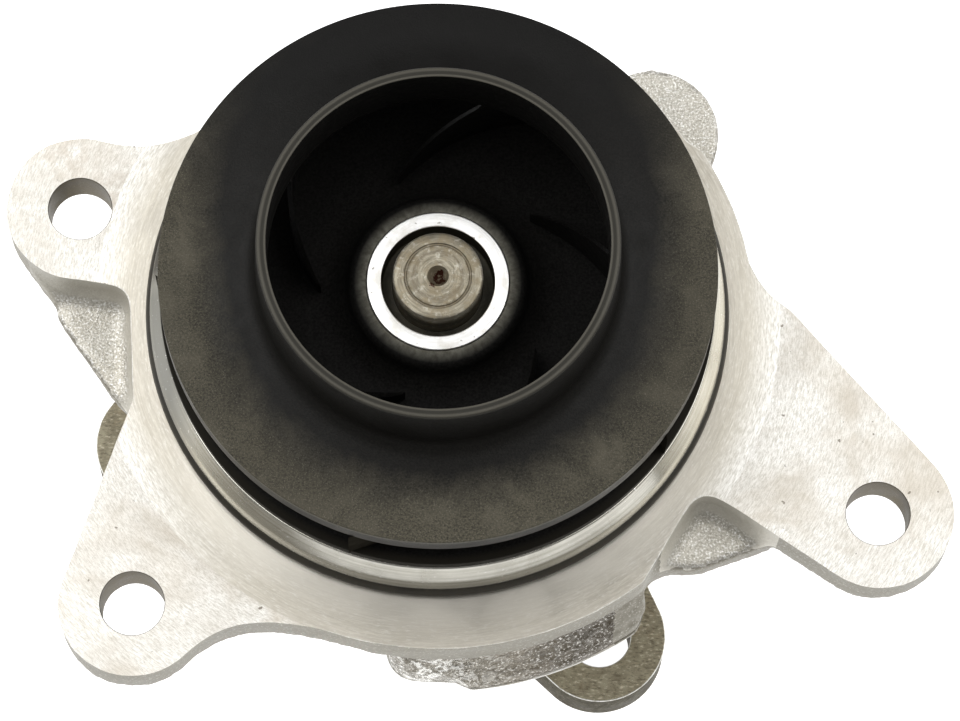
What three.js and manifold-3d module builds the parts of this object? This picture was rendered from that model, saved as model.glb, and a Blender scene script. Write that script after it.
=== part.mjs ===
// Engine water pump: cast housing, closed impeller, integral ball-and-roller shaft bearing, face seal
// and a three-eared drive flange. Millimetres. The flange's rear face is z = 0 and the impeller's
// inlet looks up +Z.
import * as THREE from "three";
import { mergeVertices } from "three/addons/utils/BufferGeometryUtils.js";
import Module from "manifold-3d";

const wasm = await Module();
wasm.setup();

// ---- driving dimensions ----
const FIT = 0.1; // gap left between neighbouring pieces
const TURN = Math.PI * 2;
const COARSE = 24; // sides of a small ring inside the pump
const MEDIUM = 32;
const FINE = 48; // sides of the impeller and the housing

const RIM_R = 49; // impeller
const RIM_Z = 118;
const NECK_FOOT_R = 41; // where the rim's flat top starts to rise to the neck
const NECK_RISE = 2;
const EYE_R = 31.35;
const EYE_BORE_R = 29.6;
const EYE_Z = 135.6;
const OUTLET_TOP_Z = 113;
const OUTLET_FLOOR_Z = 102.6;
const DISC_BACK_Z = 100.4;
const DISC_R = 49.4;
const HUB_BASE_Z = 98.4;
const COLLAR_Z = 110;
const VANES = 5;
const VANE_T = 2.2;
const VANE_INNER_R = 21;
const VANE_ANGLE = THREE.MathUtils.degToRad(33.5);
const INSERT_R = 12.6;
const INSERT_Z = 110.3;
const INSERT_RECESS_R = 10;
const INSERT_RECESS_DEPTH = 4.5;

const SHAFT_END_Z = 113.8; // shaft
const NOSE_R = 7.95;
const JOURNAL_R = 9.525;
const TAIL_R = 8.9;
const NOSE_BASE_Z = 79.2;
const TAIL_TOP_Z = 21;

const FACE_Z = 88.6; // housing
const PLATE_T = 10;
const SPIGOT_R = 51.7;
const SPIGOT_LAND = [51.25, 95.4]; // radius and height where the lead-in cone starts
const SPIGOT_LEAD = [49.9, 98.6]; // and where it ends
const SPIGOT_TOP = [49.5, 99.6];
const PLATE_BORE_R = 50.3;
const CHAMBER_R = 47.5;
const CHAMBER_FLOOR_Z = 97.5;
const GROOVE_R = 49.2;
const GROOVE_H = 3.8;
const LUG_HOLE_R = 5.75;
const BARREL_REAR_Z = 22;
const SEAL_BORE_R = 18.2;
const SEAL_BORE_Z = 84;
const WEEP_R = 2.5;
const WEEP_CHAMBER_R = 15.5;
const FLOOR_T = 6.5; // chamber floor
const RECESS_R = [31, 45.5]; // cored ring round the barrel, open to the rear
const SKIRT_R = 53;
const BARREL_R = [24.5, 25.5, 29.5]; // rear end, behind its chamfer, and at the plate
const GUSSETS = 6;
const GUSSET_T = 5;
const GUSSET_FOOT_Z = 46;
const LEFT_WEB_Z = [76.6, 80.4];
const RIGHT_WEB_Z = [74.4, 80.4];
const CAST_EAR_Z = [73, 78.5];
const CLIP_GROOVE_R = 20.3; // for the bearing's retaining ring
const CLIP_GROOVE_Z = [25.3, 27.1];
const LUGS = [
  { x: -64.8, y: 19.5, r: 13.3 },
  { x: -54.1, y: -53.5, r: 13.2 },
  { x: 78.8, y: -36.8, r: 13.6 },
];

const RACE_R = 19.05; // bearing
const RACE_BORE_R = 14.6;
const RACE_Z = [27.4, 77.6];
const LIP_SEAL_T = 2.6;
const LIP_SEAL_R = 15.8;
const LIP_LAND = 0.9;
const CLIP_R = [15.4, 17, 20.1]; // eyes, inner and outer edge
const PITCH_R = 12.1;
const BALLS = 8;
const BALL_R = 3.175;
const BALL_Z = 66;
const GROOVE_BALL_R = 3.35;
const ROLLERS = 10;
const ROLLER_R = 2.45;
const ROLLER_LENGTH = 13;
const ROLLER_Z = 39.5;
const CAGE_R = [11.1, 13.1];

const SEAL_WALL = 0.8; // face seal
const SEAL_CASE_R = [13.2, 18.1, 20.6]; // opening, wall and lip
const BELLOWS_Z = [85.9, 91.6];
const CARBON_Z = [91.7, 94.4, 95.4];
const CARBON_NOSE_R = [12.4, 14.4];
const MATING_RING_R = [10.4, 15.6];
const MATING_RING_Z = [95.5, 98.2];
const SPRING_R = 14.2;
const SPRING_Z = [87.5, 90];
const SPRING_WIRE_R = 0.5;
const SPRING_TURNS = 2;

const FLANGE_T = 12; // drive flange
const FLANGE_EAR_RADIUS = 53.7;
const FLANGE_EAR_R = 12.8;
const FLANGE_HUB_R = 23;
const FLANGE_BOSS_R = 15.5;
const FLANGE_BOSS_Z = 20;
const FLANGE_HOLE_R = 6;
const FLANGE_TURN = THREE.MathUtils.degToRad(-54);

// ---- solids ----
const rad = THREE.MathUtils.degToRad;

// A closed geometry as a manifold-3d solid that faces outwards.
function solid(geometry) {
  const bare = geometry.clone();
  bare.deleteAttribute("normal");
  bare.deleteAttribute("uv");
  const merged = mergeVertices(bare, 1e-4);
  const index = merged.index.array;
  const triVerts = [];
  for (let i = 0; i < index.length; i += 3) {
    const [a, b, c] = index.slice(i, i + 3);
    if (a !== b && b !== c && c !== a) triVerts.push(a, b, c);
  }
  const build = (order) =>
    new wasm.Manifold(
      new wasm.Mesh({
        numProp: 3,
        vertProperties: merged.attributes.position.array,
        triVerts: new Uint32Array(order),
      }),
    );
  const made = build(triVerts);
  return made.volume() < 0 ? build(triVerts.toReversed()) : made;
}

function geometryOf(made) {
  const mesh = made.getMesh();
  const geometry = new THREE.BufferGeometry();
  geometry.setAttribute("position", new THREE.BufferAttribute(mesh.vertProperties, 3));
  geometry.setIndex(new THREE.BufferAttribute(mesh.triVerts, 1));
  geometry.computeVertexNormals();
  return geometry;
}

// A ring about the pump axis: the profile is a closed loop of [radius, height] corners.
function ring(corners, segments = COARSE) {
  const points = [...corners, corners[0]].map(([r, z]) => new THREE.Vector2(r, z));
  return solid(new THREE.LatheGeometry(points, segments).rotateX(Math.PI / 2));
}

// A solid of revolution whose profile starts and ends on the axis.
function turned(corners, segments = MEDIUM) {
  const points = corners.map(([r, z]) => new THREE.Vector2(r, z));
  return solid(new THREE.LatheGeometry(points, segments).rotateX(Math.PI / 2));
}

function prism(shape, low, high, curveSegments = 8) {
  const options = { depth: high - low, bevelEnabled: false, curveSegments };
  return solid(new THREE.ExtrudeGeometry(shape, options).translate(0, 0, low));
}

function tube(inner, outer, low, high, segments) {
  return ring([[inner, low], [outer, low], [outer, high], [inner, high]], segments);
}

const polar = (r, angle) => [r * Math.cos(angle), r * Math.sin(angle)];

function piece(name, made, material) {
  const mesh = new THREE.Mesh(geometryOf(made), material);
  mesh.name = name;
  return mesh;
}

// ---- materials ----
const metal = (color, roughness) =>
  new THREE.MeshStandardMaterial({ color, roughness, metalness: 1 });
const plain = (color, roughness) =>
  new THREE.MeshStandardMaterial({ color, roughness, metalness: 0 });

const castAluminium = () => metal(0xc9c5bb, 0.5);
const blackPlastic = () => plain(0x24221f, 0.55);
const insertSteel = () => metal(0xe4e3de, 0.25);
const shaftSteel = () => metal(0x938a7c, 0.4);
const flangeSteel = () => metal(0x6f6753, 0.5);
const bearingSteel = () => metal(0xb9bbbd, 0.25);
const springSteel = () => metal(0x9a9c9e, 0.35);
const stainless = () => metal(0xc4c6c8, 0.3);
const oliveRubber = () => plain(0x3c3a30, 0.6);
const blackRubber = () => plain(0x1c1c1c, 0.8);
const carbon = () => plain(0x2b2c2e, 0.45);
const ceramic = () => plain(0x6a6d70, 0.3);
const cageNylon = () => plain(0xd9d2b8, 0.5);

// ---- housing ----
// The mounting plate: three lugs round the spigot ring, with an open pocket between the ring and the
// right-hand lug.
function plateOutline() {
  const [upper, lower, right] = LUGS;
  const at = (centre, r, degrees) => {
    const [x, y] = polar(r, rad(degrees));
    return [centre.x + x, centre.y + y];
  };
  const side = { x: 0.5, y: 0, r: 56.7 };
  const back = { x: 0.5, y: 0, r: 55.5 };
  const front = { x: 0, y: 0, r: 61.6 };
  const shape = new THREE.Shape();
  shape.absarc(side.x, side.y, side.r, rad(10), rad(33), false);
  shape.absarc(back.x, back.y, back.r, rad(36), rad(141), false);
  shape.bezierCurveTo(-50, 30.3, -57.5, 31.2, ...at(upper, upper.r, 80));
  shape.absarc(upper.x, upper.y, upper.r, rad(80), rad(254), false);
  shape.lineTo(-60, 5.4);
  shape.quadraticCurveTo(-55.4, 5.2, -55.4, 0.6);
  shape.lineTo(-54.6, -16);
  shape.lineTo(-59.7, -30.4);
  shape.lineTo(-64.2, -43);
  shape.absarc(lower.x, lower.y, lower.r, rad(168), rad(315), false);
  shape.bezierCurveTo(-37.4, -55.4, -28.3, -55.9, ...at(front, front.r, -106));
  shape.absarc(front.x, front.y, front.r, rad(-106), rad(-53.5), false);
  shape.lineTo(44.3, -36.6);
  shape.bezierCurveTo(46.6, -32.2, 49.4, -33.2, 52.5, -35.3);
  shape.absarc(right.x, right.y, right.r, rad(-122), rad(41), false);
  shape.lineTo(63.6, 1);
  shape.quadraticCurveTo(58.6, 4, ...at(side, side.r, 10));
  return shape;
}

function plate() {
  const shape = plateOutline();
  for (const lug of LUGS) {
    shape.holes.push(new THREE.Path().absarc(lug.x, lug.y, LUG_HOLE_R, 0, TURN, true));
  }
  shape.holes.push(new THREE.Path().absarc(0, 0, PLATE_BORE_R, 0, TURN, true));
  return prism(shape, FACE_Z - PLATE_T, FACE_Z, 9);
}

// Spigot, chamber floor, seal bore, bearing bore and barrel, with the recess cored round the barrel.
function turnedBody() {
  const recessTop = CHAMBER_FLOOR_Z - FLOOR_T;
  const plateBack = FACE_Z - PLATE_T;
  const bore = RACE_R + FIT;
  const [clipLow, clipHigh] = CLIP_GROOVE_Z;
  const [rearR, bodyR, footR] = BARREL_R;
  return ring(
    [
      [CHAMBER_R, SPIGOT_TOP[1]],
      [CHAMBER_R, CHAMBER_FLOOR_Z + 0.6],
      [CHAMBER_R - 0.6, CHAMBER_FLOOR_Z],
      [SEAL_BORE_R, CHAMBER_FLOOR_Z],
      [SEAL_BORE_R, SEAL_BORE_Z],
      [WEEP_CHAMBER_R, SEAL_BORE_Z],
      [WEEP_CHAMBER_R, RACE_Z[1] + FIT],
      [bore, RACE_Z[1] + FIT],
      [bore, clipHigh],
      [CLIP_GROOVE_R, clipHigh],
      [CLIP_GROOVE_R, clipLow],
      [bore, clipLow],
      [bore, BARREL_REAR_Z],
      [rearR, BARREL_REAR_Z],
      [bodyR, BARREL_REAR_Z + 1],
      [footR, plateBack],
      [RECESS_R[0], recessTop],
      [RECESS_R[1], recessTop],
      [RECESS_R[1] + 1.5, plateBack],
      [SKIRT_R, plateBack],
      [SKIRT_R, FACE_Z],
      [GROOVE_R, FACE_Z],
      [GROOVE_R, FACE_Z + GROOVE_H],
      [SPIGOT_R, FACE_Z + GROOVE_H],
      SPIGOT_LAND,
      SPIGOT_LEAD,
      SPIGOT_TOP,
    ],
    FINE,
  );
}

// A gusset from the barrel up to the ring's underside, in the direction of the angle.
function gusset(angle) {
  const inner = BARREL_R[1];
  const outer = SKIRT_R - 1;
  const top = FACE_Z - 6;
  const side = new THREE.Shape([
    new THREE.Vector2(inner, GUSSET_FOOT_Z),
    new THREE.Vector2(inner + 3.5, GUSSET_FOOT_Z),
    new THREE.Vector2(outer, FACE_Z - PLATE_T),
    new THREE.Vector2(outer, top),
    new THREE.Vector2(inner + 2, top),
  ]);
  const options = { depth: GUSSET_T, bevelEnabled: false };
  const geometry = new THREE.ExtrudeGeometry(side, options)
    .translate(0, 0, -GUSSET_T / 2)
    .rotateX(Math.PI / 2)
    .rotateZ(angle);
  return solid(geometry);
}

// Thin cast web between the two left-hand lugs, set below the machined face.
function leftWeb() {
  const shape = new THREE.Shape();
  shape.moveTo(-76.2, 12.6);
  shape.lineTo(-69.3, 3.4);
  shape.lineTo(-69.1, 1.2);
  shape.lineTo(-58.2, -14.3);
  shape.lineTo(-54, -19);
  shape.lineTo(-49, -10);
  shape.lineTo(-52, 8);
  shape.lineTo(-62, 12);
  return prism(shape, ...LEFT_WEB_Z);
}

// Thicker web across the pocket beside the right-hand lug.
function rightWeb() {
  const shape = new THREE.Shape();
  shape.moveTo(37.5, -47.5);
  shape.quadraticCurveTo(41, -44.7, 45, -45.4);
  shape.lineTo(47.5, -45.1);
  shape.lineTo(59, -41);
  shape.quadraticCurveTo(61.8, -40, 61.6, -37.6);
  shape.lineTo(52, -29);
  shape.lineTo(38, -33);
  return prism(shape, ...RIGHT_WEB_Z);
}

// Unmachined ear on the far side of the ring.
function castEar() {
  const shape = new THREE.Shape();
  shape.absarc(39.5, 37.4, 12.3, rad(-25), rad(115), false);
  shape.lineTo(22, 44);
  shape.lineTo(46, 20);
  return prism(shape, ...CAST_EAR_Z);
}

// Cast flank that flares out under the ring and runs back into the barrel.
function flank() {
  const skin = ring(
    [
      [26, 79],
      [60.9, 79],
      [61.3, 76.5],
      [64.9, 66.6],
      [64.3, 65],
      [42, 58],
      [27, 52],
    ],
    FINE,
  );
  const sector = new THREE.Shape();
  sector.moveTo(-4, -20);
  sector.lineTo(-9.2, -57);
  sector.quadraticCurveTo(-8.6, -62.8, -3, -63);
  sector.lineTo(3.5, -63.2);
  sector.quadraticCurveTo(7, -65.2, 11, -65.2);
  sector.lineTo(20, -64);
  sector.lineTo(34.5, -55.6);
  sector.quadraticCurveTo(39.5, -51, 36.5, -46);
  sector.lineTo(16, -20);
  return skin.intersect(prism(sector, 50, 80));
}

function weepHole() {
  const drill = new THREE.CylinderGeometry(WEEP_R, WEEP_R, 24, 16);
  return solid(drill.translate(0, -26, SEAL_BORE_Z - 3));
}

function pumpHousing() {
  let made = plate().add(turnedBody());
  for (let k = 0; k < GUSSETS; k++) made = made.add(gusset((k * TURN) / GUSSETS));
  const insideBarrel = BARREL_R[2] - 1.5;
  const top = CHAMBER_FLOOR_Z - FLOOR_T - 1.5;
  const axisSpace = turned([[0, 10], [insideBarrel, 10], [insideBarrel, top], [0, top]], FINE);
  const outside = leftWeb().add(rightWeb()).add(castEar()).add(flank());
  made = made.add(outside.subtract(axisSpace)).subtract(weepHole());
  return piece("pump_housing", made, castAluminium());
}

// Round-section ring stretched into the groove at the spigot's foot.
function spigotORing() {
  const section = 1.6;
  const centre = [GROOVE_R + FIT + section, FACE_Z + GROOVE_H / 2];
  const sides = 8;
  const corners = Array.from({ length: sides }, (_, i) => {
    const [x, y] = polar(section, ((i + 0.5) * TURN) / sides);
    return [centre[0] + x, centre[1] + y];
  });
  return piece("spigot_o_ring", ring(corners, FINE), oliveRubber());
}

// ---- impeller ----
// The wall between inlet and outlet, from the eye's bore out to the rim.
const SHROUD_INNER = [
  [EYE_BORE_R, 123],
  [30.4, 118.8],
  [34, 115.4],
  [40, 113.8],
  [RIM_R, OUTLET_TOP_Z],
];

function inletShroud() {
  const corners = [
    ...SHROUD_INNER,
    [RIM_R, RIM_Z - 0.5],
    [RIM_R - 0.5, RIM_Z],
    [NECK_FOOT_R, RIM_Z + 0.3],
    [EYE_R + 1.7, RIM_Z + NECK_RISE],
    [EYE_R + 0.5, RIM_Z + NECK_RISE + 1],
    [EYE_R, EYE_Z - 0.6],
    [EYE_R - 0.5, EYE_Z],
    [EYE_BORE_R + 0.3, EYE_Z],
    [EYE_BORE_R, EYE_Z - 0.4],
  ];
  return piece("impeller_inlet_shroud", ring(corners, FINE), blackPlastic());
}

// Backward-curved blade: its angle runs on as the logarithm of the radius from the outlet inwards.
function vaneOutline(outletAngle) {
  const outer = RIM_R + 1;
  const steps = 6;
  const left = [];
  const right = [];
  for (let i = 0; i <= steps; i++) {
    const r = VANE_INNER_R * (outer / VANE_INNER_R) ** (i / steps);
    const angle = outletAngle + Math.log(RIM_R / r) / Math.tan(VANE_ANGLE);
    const [x, y] = polar(r, angle);
    const [nx, ny] = polar(VANE_T / 2, angle - VANE_ANGLE);
    left.push(new THREE.Vector2(x + nx, y + ny));
    right.unshift(new THREE.Vector2(x - nx, y - ny));
  }
  return new THREE.Shape([...left, ...right]);
}

function vaneDisc() {
  const bore = INSERT_R + FIT;
  const back = ring(
    [
      [bore, HUB_BASE_Z],
      [15.5, HUB_BASE_Z],
      [17.4, DISC_BACK_Z],
      [DISC_R, DISC_BACK_Z],
      [DISC_R, OUTLET_FLOOR_Z],
      [34, OUTLET_FLOOR_Z + 0.4],
      [24, OUTLET_FLOOR_Z + 1.2],
      [18.5, OUTLET_FLOOR_Z + 2.4],
      [16.2, COLLAR_Z - 2.8],
      [15.2, COLLAR_Z - 0.9],
      [13.4, COLLAR_Z],
      [bore, COLLAR_Z],
    ],
    FINE,
  );
  const inner = SHROUD_INNER.map(([r, z]) => [r - 0.2, z - 0.2]).reverse();
  const passage = ring(
    [
      [VANE_INNER_R + 1, DISC_BACK_Z + 1],
      [RIM_R - 0.2, DISC_BACK_Z + 1],
      ...inner,
      [VANE_INNER_R + 1, 109],
    ],
    FINE,
  );
  let made = back;
  for (let k = 0; k < VANES; k++) {
    const outline = vaneOutline(rad(36) + (k * TURN) / VANES);
    made = made.add(prism(outline, DISC_BACK_Z, 126).intersect(passage));
  }
  return piece("impeller_vane_disc", made, blackPlastic());
}

// Metal bush moulded into the impeller's hub and pressed on the shaft.
function impellerInsert() {
  const bore = NOSE_R + FIT;
  const step = INSERT_Z - INSERT_RECESS_DEPTH;
  const corners = [
    [bore, HUB_BASE_Z],
    [INSERT_R, HUB_BASE_Z],
    [INSERT_R, INSERT_Z - 0.3],
    [INSERT_R - 0.3, INSERT_Z],
    [INSERT_RECESS_R, INSERT_Z],
    [INSERT_RECESS_R, step],
    [bore, step],
  ];
  return piece("impeller_insert", ring(corners, MEDIUM), insertSteel());
}

// ---- shaft and drive flange ----
function driveShaft() {
  const groove = [-2.1, -1.1, 0, 1.1, 2.1].map((dz) => [
    PITCH_R - Math.sqrt(GROOVE_BALL_R ** 2 - dz ** 2),
    BALL_Z + dz,
  ]);
  const corners = [
    [0, 0],
    [TAIL_R - 0.6, 0],
    [TAIL_R, 0.6],
    [TAIL_R, TAIL_TOP_Z],
    [JOURNAL_R, TAIL_TOP_Z],
    ...groove,
    [JOURNAL_R, NOSE_BASE_Z],
    [NOSE_R, NOSE_BASE_Z],
    [NOSE_R, SHAFT_END_Z - 0.4],
    [NOSE_R - 0.4, SHAFT_END_Z],
    [1.2, SHAFT_END_Z],
    [0, SHAFT_END_Z - 1.6],
  ];
  return piece("drive_shaft", turned(corners), shaftSteel());
}

// Three ears joined by straight flanks that meet in rounded corners between them.
function flangeOutline() {
  const lean = Math.acos((FLANGE_HUB_R - FLANGE_EAR_R) / FLANGE_EAR_RADIUS);
  const cornerRadius = FLANGE_HUB_R / Math.cos(lean - rad(60));
  const softness = 0.2;
  const shape = new THREE.Shape();
  for (let k = 0; k < 3; k++) {
    const ear = FLANGE_TURN + (k * TURN) / 3;
    const [x, y] = polar(FLANGE_EAR_RADIUS, ear);
    shape.absarc(x, y, FLANGE_EAR_R, ear - lean, ear + lean, false);
    const next = ear + TURN / 3;
    const [cx, cy] = polar(cornerRadius, ear + rad(60));
    const [nx, ny] = polar(FLANGE_EAR_RADIUS, next);
    const [ex, ey] = polar(FLANGE_EAR_R, ear + lean);
    const [fx, fy] = polar(FLANGE_EAR_R, next - lean);
    shape.lineTo(cx + softness * (x + ex - cx), cy + softness * (y + ey - cy));
    shape.quadraticCurveTo(cx, cy, cx + softness * (nx + fx - cx), cy + softness * (ny + fy - cy));
  }
  return shape;
}

function driveFlange() {
  const shape = flangeOutline();
  for (let k = 0; k < 3; k++) {
    const [x, y] = polar(FLANGE_EAR_RADIUS, FLANGE_TURN + (k * TURN) / 3);
    shape.holes.push(new THREE.Path().absarc(x, y, FLANGE_HOLE_R, 0, TURN, true));
  }
  const bore = TAIL_R + FIT;
  const boss = turned(
    [
      [0, 5],
      [FLANGE_BOSS_R + 2, 5],
      [FLANGE_BOSS_R + 1.2, FLANGE_T],
      [FLANGE_BOSS_R, FLANGE_BOSS_Z - 0.8],
      [FLANGE_BOSS_R - 0.8, FLANGE_BOSS_Z],
      [0, FLANGE_BOSS_Z],
    ],
  );
  const shaftHole = turned([[0, -1], [bore, -1], [bore, FLANGE_BOSS_Z + 1], [0, FLANGE_BOSS_Z + 1]]);
  const made = prism(shape, 0, FLANGE_T, 8).add(boss).subtract(shaftHole);
  return piece("drive_flange", made, flangeSteel());
}

// ---- bearing ----
function outerRace() {
  const [low, high] = RACE_Z;
  const depth = LIP_SEAL_T + 2 * FIT;
  const groove = [2.2, 1.2, 0, -1.2, -2.2].map((dz) => [
    PITCH_R + Math.sqrt(GROOVE_BALL_R ** 2 - dz ** 2),
    BALL_Z + dz,
  ]);
  const corners = [
    [LIP_SEAL_R + FIT, low],
    [RACE_R, low],
    [RACE_R, high],
    [LIP_SEAL_R + FIT, high],
    [LIP_SEAL_R + FIT, high - depth],
    [RACE_BORE_R, high - depth],
    ...groove,
    [RACE_BORE_R, low + depth],
    [LIP_SEAL_R + FIT, low + depth],
  ];
  return piece("bearing_outer_race", ring(corners, 40), bearingSteel());
}

function lipSeal(name, low) {
  const lip = JOURNAL_R + 0.15;
  const root = lip + 1.2;
  const high = low + LIP_SEAL_T;
  const corners = [
    [lip, low + LIP_LAND],
    [root, low],
    [LIP_SEAL_R, low],
    [LIP_SEAL_R, high],
    [root, high],
    [lip, high - LIP_LAND],
  ];
  return piece(name, ring(corners), blackRubber());
}

// Spring clip with its gap towards +X.
function retainingRing() {
  const [eyeR, innerR, outerR] = CLIP_R;
  const gap = rad(18);
  const eyeEnd = gap + rad(14);
  const bandStart = gap + rad(18);
  const shape = new THREE.Shape();
  shape.absarc(0, 0, outerR, gap, TURN - gap, false);
  shape.lineTo(...polar(eyeR, -gap));
  shape.lineTo(...polar(eyeR, -eyeEnd));
  shape.absarc(0, 0, innerR, TURN - bandStart, bandStart, true);
  shape.lineTo(...polar(eyeR, eyeEnd));
  shape.lineTo(...polar(eyeR, gap));
  const [low, high] = CLIP_GROOVE_Z;
  const made = prism(shape, low + 2 * FIT, high - 2 * FIT, 16);
  return piece("bearing_retaining_ring", made, springSteel());
}

function ballCage() {
  let made = tube(CAGE_R[0], CAGE_R[1], BALL_Z - 4.6, BALL_Z + 4.6, MEDIUM);
  for (let k = 0; k < BALLS; k++) {
    const pocket = new THREE.CylinderGeometry(BALL_R + 0.3, BALL_R + 0.3, 8, 8)
      .translate(0, PITCH_R, BALL_Z)
      .rotateZ((k * TURN) / BALLS);
    made = made.subtract(solid(pocket));
  }
  return piece("ball_cage", made, cageNylon());
}

function balls() {
  return Array.from({ length: BALLS }, (_, k) => {
    const ball = new THREE.SphereGeometry(BALL_R, 8, 6)
      .translate(0, PITCH_R, BALL_Z)
      .rotateZ((k * TURN) / BALLS);
    return piece(`bearing_ball_${k + 1}`, solid(ball), bearingSteel());
  });
}

function rollerCage() {
  const half = ROLLER_LENGTH / 2 + 1.6;
  let made = tube(CAGE_R[0], CAGE_R[1], ROLLER_Z - half, ROLLER_Z + half, MEDIUM);
  for (let k = 0; k < ROLLERS; k++) {
    const pocket = new THREE.BoxGeometry(2 * ROLLER_R + 0.5, 8, ROLLER_LENGTH + 0.5)
      .translate(0, PITCH_R, ROLLER_Z)
      .rotateZ((k * TURN) / ROLLERS);
    made = made.subtract(solid(pocket));
  }
  return piece("roller_cage", made, cageNylon());
}

function rollers() {
  return Array.from({ length: ROLLERS }, (_, k) => {
    const roller = new THREE.CylinderGeometry(ROLLER_R, ROLLER_R, ROLLER_LENGTH, 10)
      .rotateX(Math.PI / 2)
      .translate(0, PITCH_R, ROLLER_Z)
      .rotateZ((k * TURN) / ROLLERS);
    return piece(`bearing_roller_${k + 1}`, solid(roller), bearingSteel());
  });
}

// ---- face seal ----
function sealCartridge() {
  const [opening, outer, lip] = SEAL_CASE_R;
  const base = SEAL_BORE_Z + 1;
  const rim = CHAMBER_FLOOR_Z + FIT;
  const corners = [
    [opening, base],
    [outer, base],
    [outer, rim],
    [lip, rim],
    [lip, rim + SEAL_WALL],
    [outer - SEAL_WALL, rim + SEAL_WALL],
    [outer - SEAL_WALL, base + SEAL_WALL],
    [opening, base + SEAL_WALL],
  ];
  return piece("seal_cartridge", ring(corners), stainless());
}

function sealBellows() {
  const [low, high] = BELLOWS_Z;
  const skin = 1;
  const inner = 11.2;
  const tubeR = inner + skin + FIT;
  const corners = [
    [inner, low],
    [17, low],
    [17, low + skin],
    [tubeR, low + skin],
    [tubeR, high - skin],
    [15.2, high - skin],
    [15.2, high],
    [inner, high],
  ];
  return piece("seal_bellows", ring(corners), blackRubber());
}

// Coil spring that presses the carbon ring on its mating ring.
class CoilPath extends THREE.Curve {
  constructor(radius, low, high, turns) {
    super();
    Object.assign(this, { radius, low, high, turns });
  }
  getPoint(t, target = new THREE.Vector3()) {
    const [x, y] = polar(this.radius, t * this.turns * TURN);
    return target.set(x, y, this.low + t * (this.high - this.low));
  }
}

function sealSpring() {
  const path = new CoilPath(SPRING_R, ...SPRING_Z, SPRING_TURNS);
  const section = new THREE.Shape();
  section.absarc(0, 0, SPRING_WIRE_R, 0, TURN, false);
  const steps = 14 * SPRING_TURNS;
  const options = { steps, curveSegments: 3, extrudePath: path, bevelEnabled: false };
  return piece("seal_spring", solid(new THREE.ExtrudeGeometry(section, options)), springSteel());
}

function sealCarbonRing() {
  const [base, shoulder, tip] = CARBON_Z;
  const [noseIn, noseOut] = CARBON_NOSE_R;
  const corners = [
    [11.6, base],
    [15.2, base],
    [15.2, shoulder],
    [noseOut, shoulder],
    [noseOut, tip],
    [noseIn, tip],
    [noseIn, shoulder],
    [11.6, shoulder],
  ];
  return piece("seal_carbon_ring", ring(corners), carbon());
}

function sealMatingRing() {
  return piece("seal_mating_ring", tube(...MATING_RING_R, ...MATING_RING_Z), ceramic());
}

function sealSeatCup() {
  const outer = MATING_RING_R[0] - FIT;
  const made = tube(NOSE_R + FIT, outer, CARBON_Z[1] + 2 * FIT, MATING_RING_Z[1]);
  return piece("seal_seat_cup", made, blackRubber());
}

function slinger() {
  const bore = NOSE_R + FIT;
  const low = NOSE_BASE_Z + 2 * FIT;
  const high = low + 1.8;
  const corners = [
    [bore, low],
    [10.2, low],
    [13.2, low + 1.4],
    [13.2, high + 0.6],
    [10, high],
    [bore, high],
  ];
  return piece("slinger_ring", ring(corners), stainless());
}

// ---- assembly ----
const pump = new THREE.Group();
pump.add(
  pumpHousing(),
  spigotORing(),
  outerRace(),
  lipSeal("bearing_front_seal", RACE_Z[1] - LIP_SEAL_T - FIT),
  lipSeal("bearing_rear_seal", RACE_Z[0] + FIT),
  retainingRing(),
  sealCartridge(),
  sealBellows(),
  sealSpring(),
  sealCarbonRing(),
  driveShaft(),
  inletShroud(),
  vaneDisc(),
  impellerInsert(),
  sealMatingRing(),
  sealSeatCup(),
  slinger(),
  driveFlange(),
  ballCage(),
  ...balls(),
  rollerCage(),
  ...rollers(),
);

export default pump;
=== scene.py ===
"""Looks for the engine water pump: a sand-cast, machined housing, a moulded closed impeller with
its metal insert, the shaft, the sealing ring and the drive flange. Shapes are in millimetres, scaled
once by MM. Places inside the materials are in metres."""
import math

import bmesh
import bpy
from mathutils import Matrix, Vector, noise
from mathutils.geometry import tessellate_polygon


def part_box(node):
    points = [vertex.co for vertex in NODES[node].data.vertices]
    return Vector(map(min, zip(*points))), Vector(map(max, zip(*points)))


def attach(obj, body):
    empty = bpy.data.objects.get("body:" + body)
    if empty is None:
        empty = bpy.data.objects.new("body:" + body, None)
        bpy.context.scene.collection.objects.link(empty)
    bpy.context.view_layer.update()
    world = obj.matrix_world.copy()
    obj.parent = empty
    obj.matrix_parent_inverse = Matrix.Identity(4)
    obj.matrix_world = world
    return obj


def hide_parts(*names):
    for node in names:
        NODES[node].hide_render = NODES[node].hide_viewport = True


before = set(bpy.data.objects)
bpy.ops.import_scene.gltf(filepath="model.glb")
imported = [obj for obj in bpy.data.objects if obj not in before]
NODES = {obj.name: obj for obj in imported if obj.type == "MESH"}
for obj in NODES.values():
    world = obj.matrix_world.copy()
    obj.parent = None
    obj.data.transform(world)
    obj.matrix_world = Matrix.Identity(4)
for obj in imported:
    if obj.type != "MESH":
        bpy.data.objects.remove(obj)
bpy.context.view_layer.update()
SCENE = bpy.context.scene
MM = 0.001
TURN = 2 * math.pi

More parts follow.
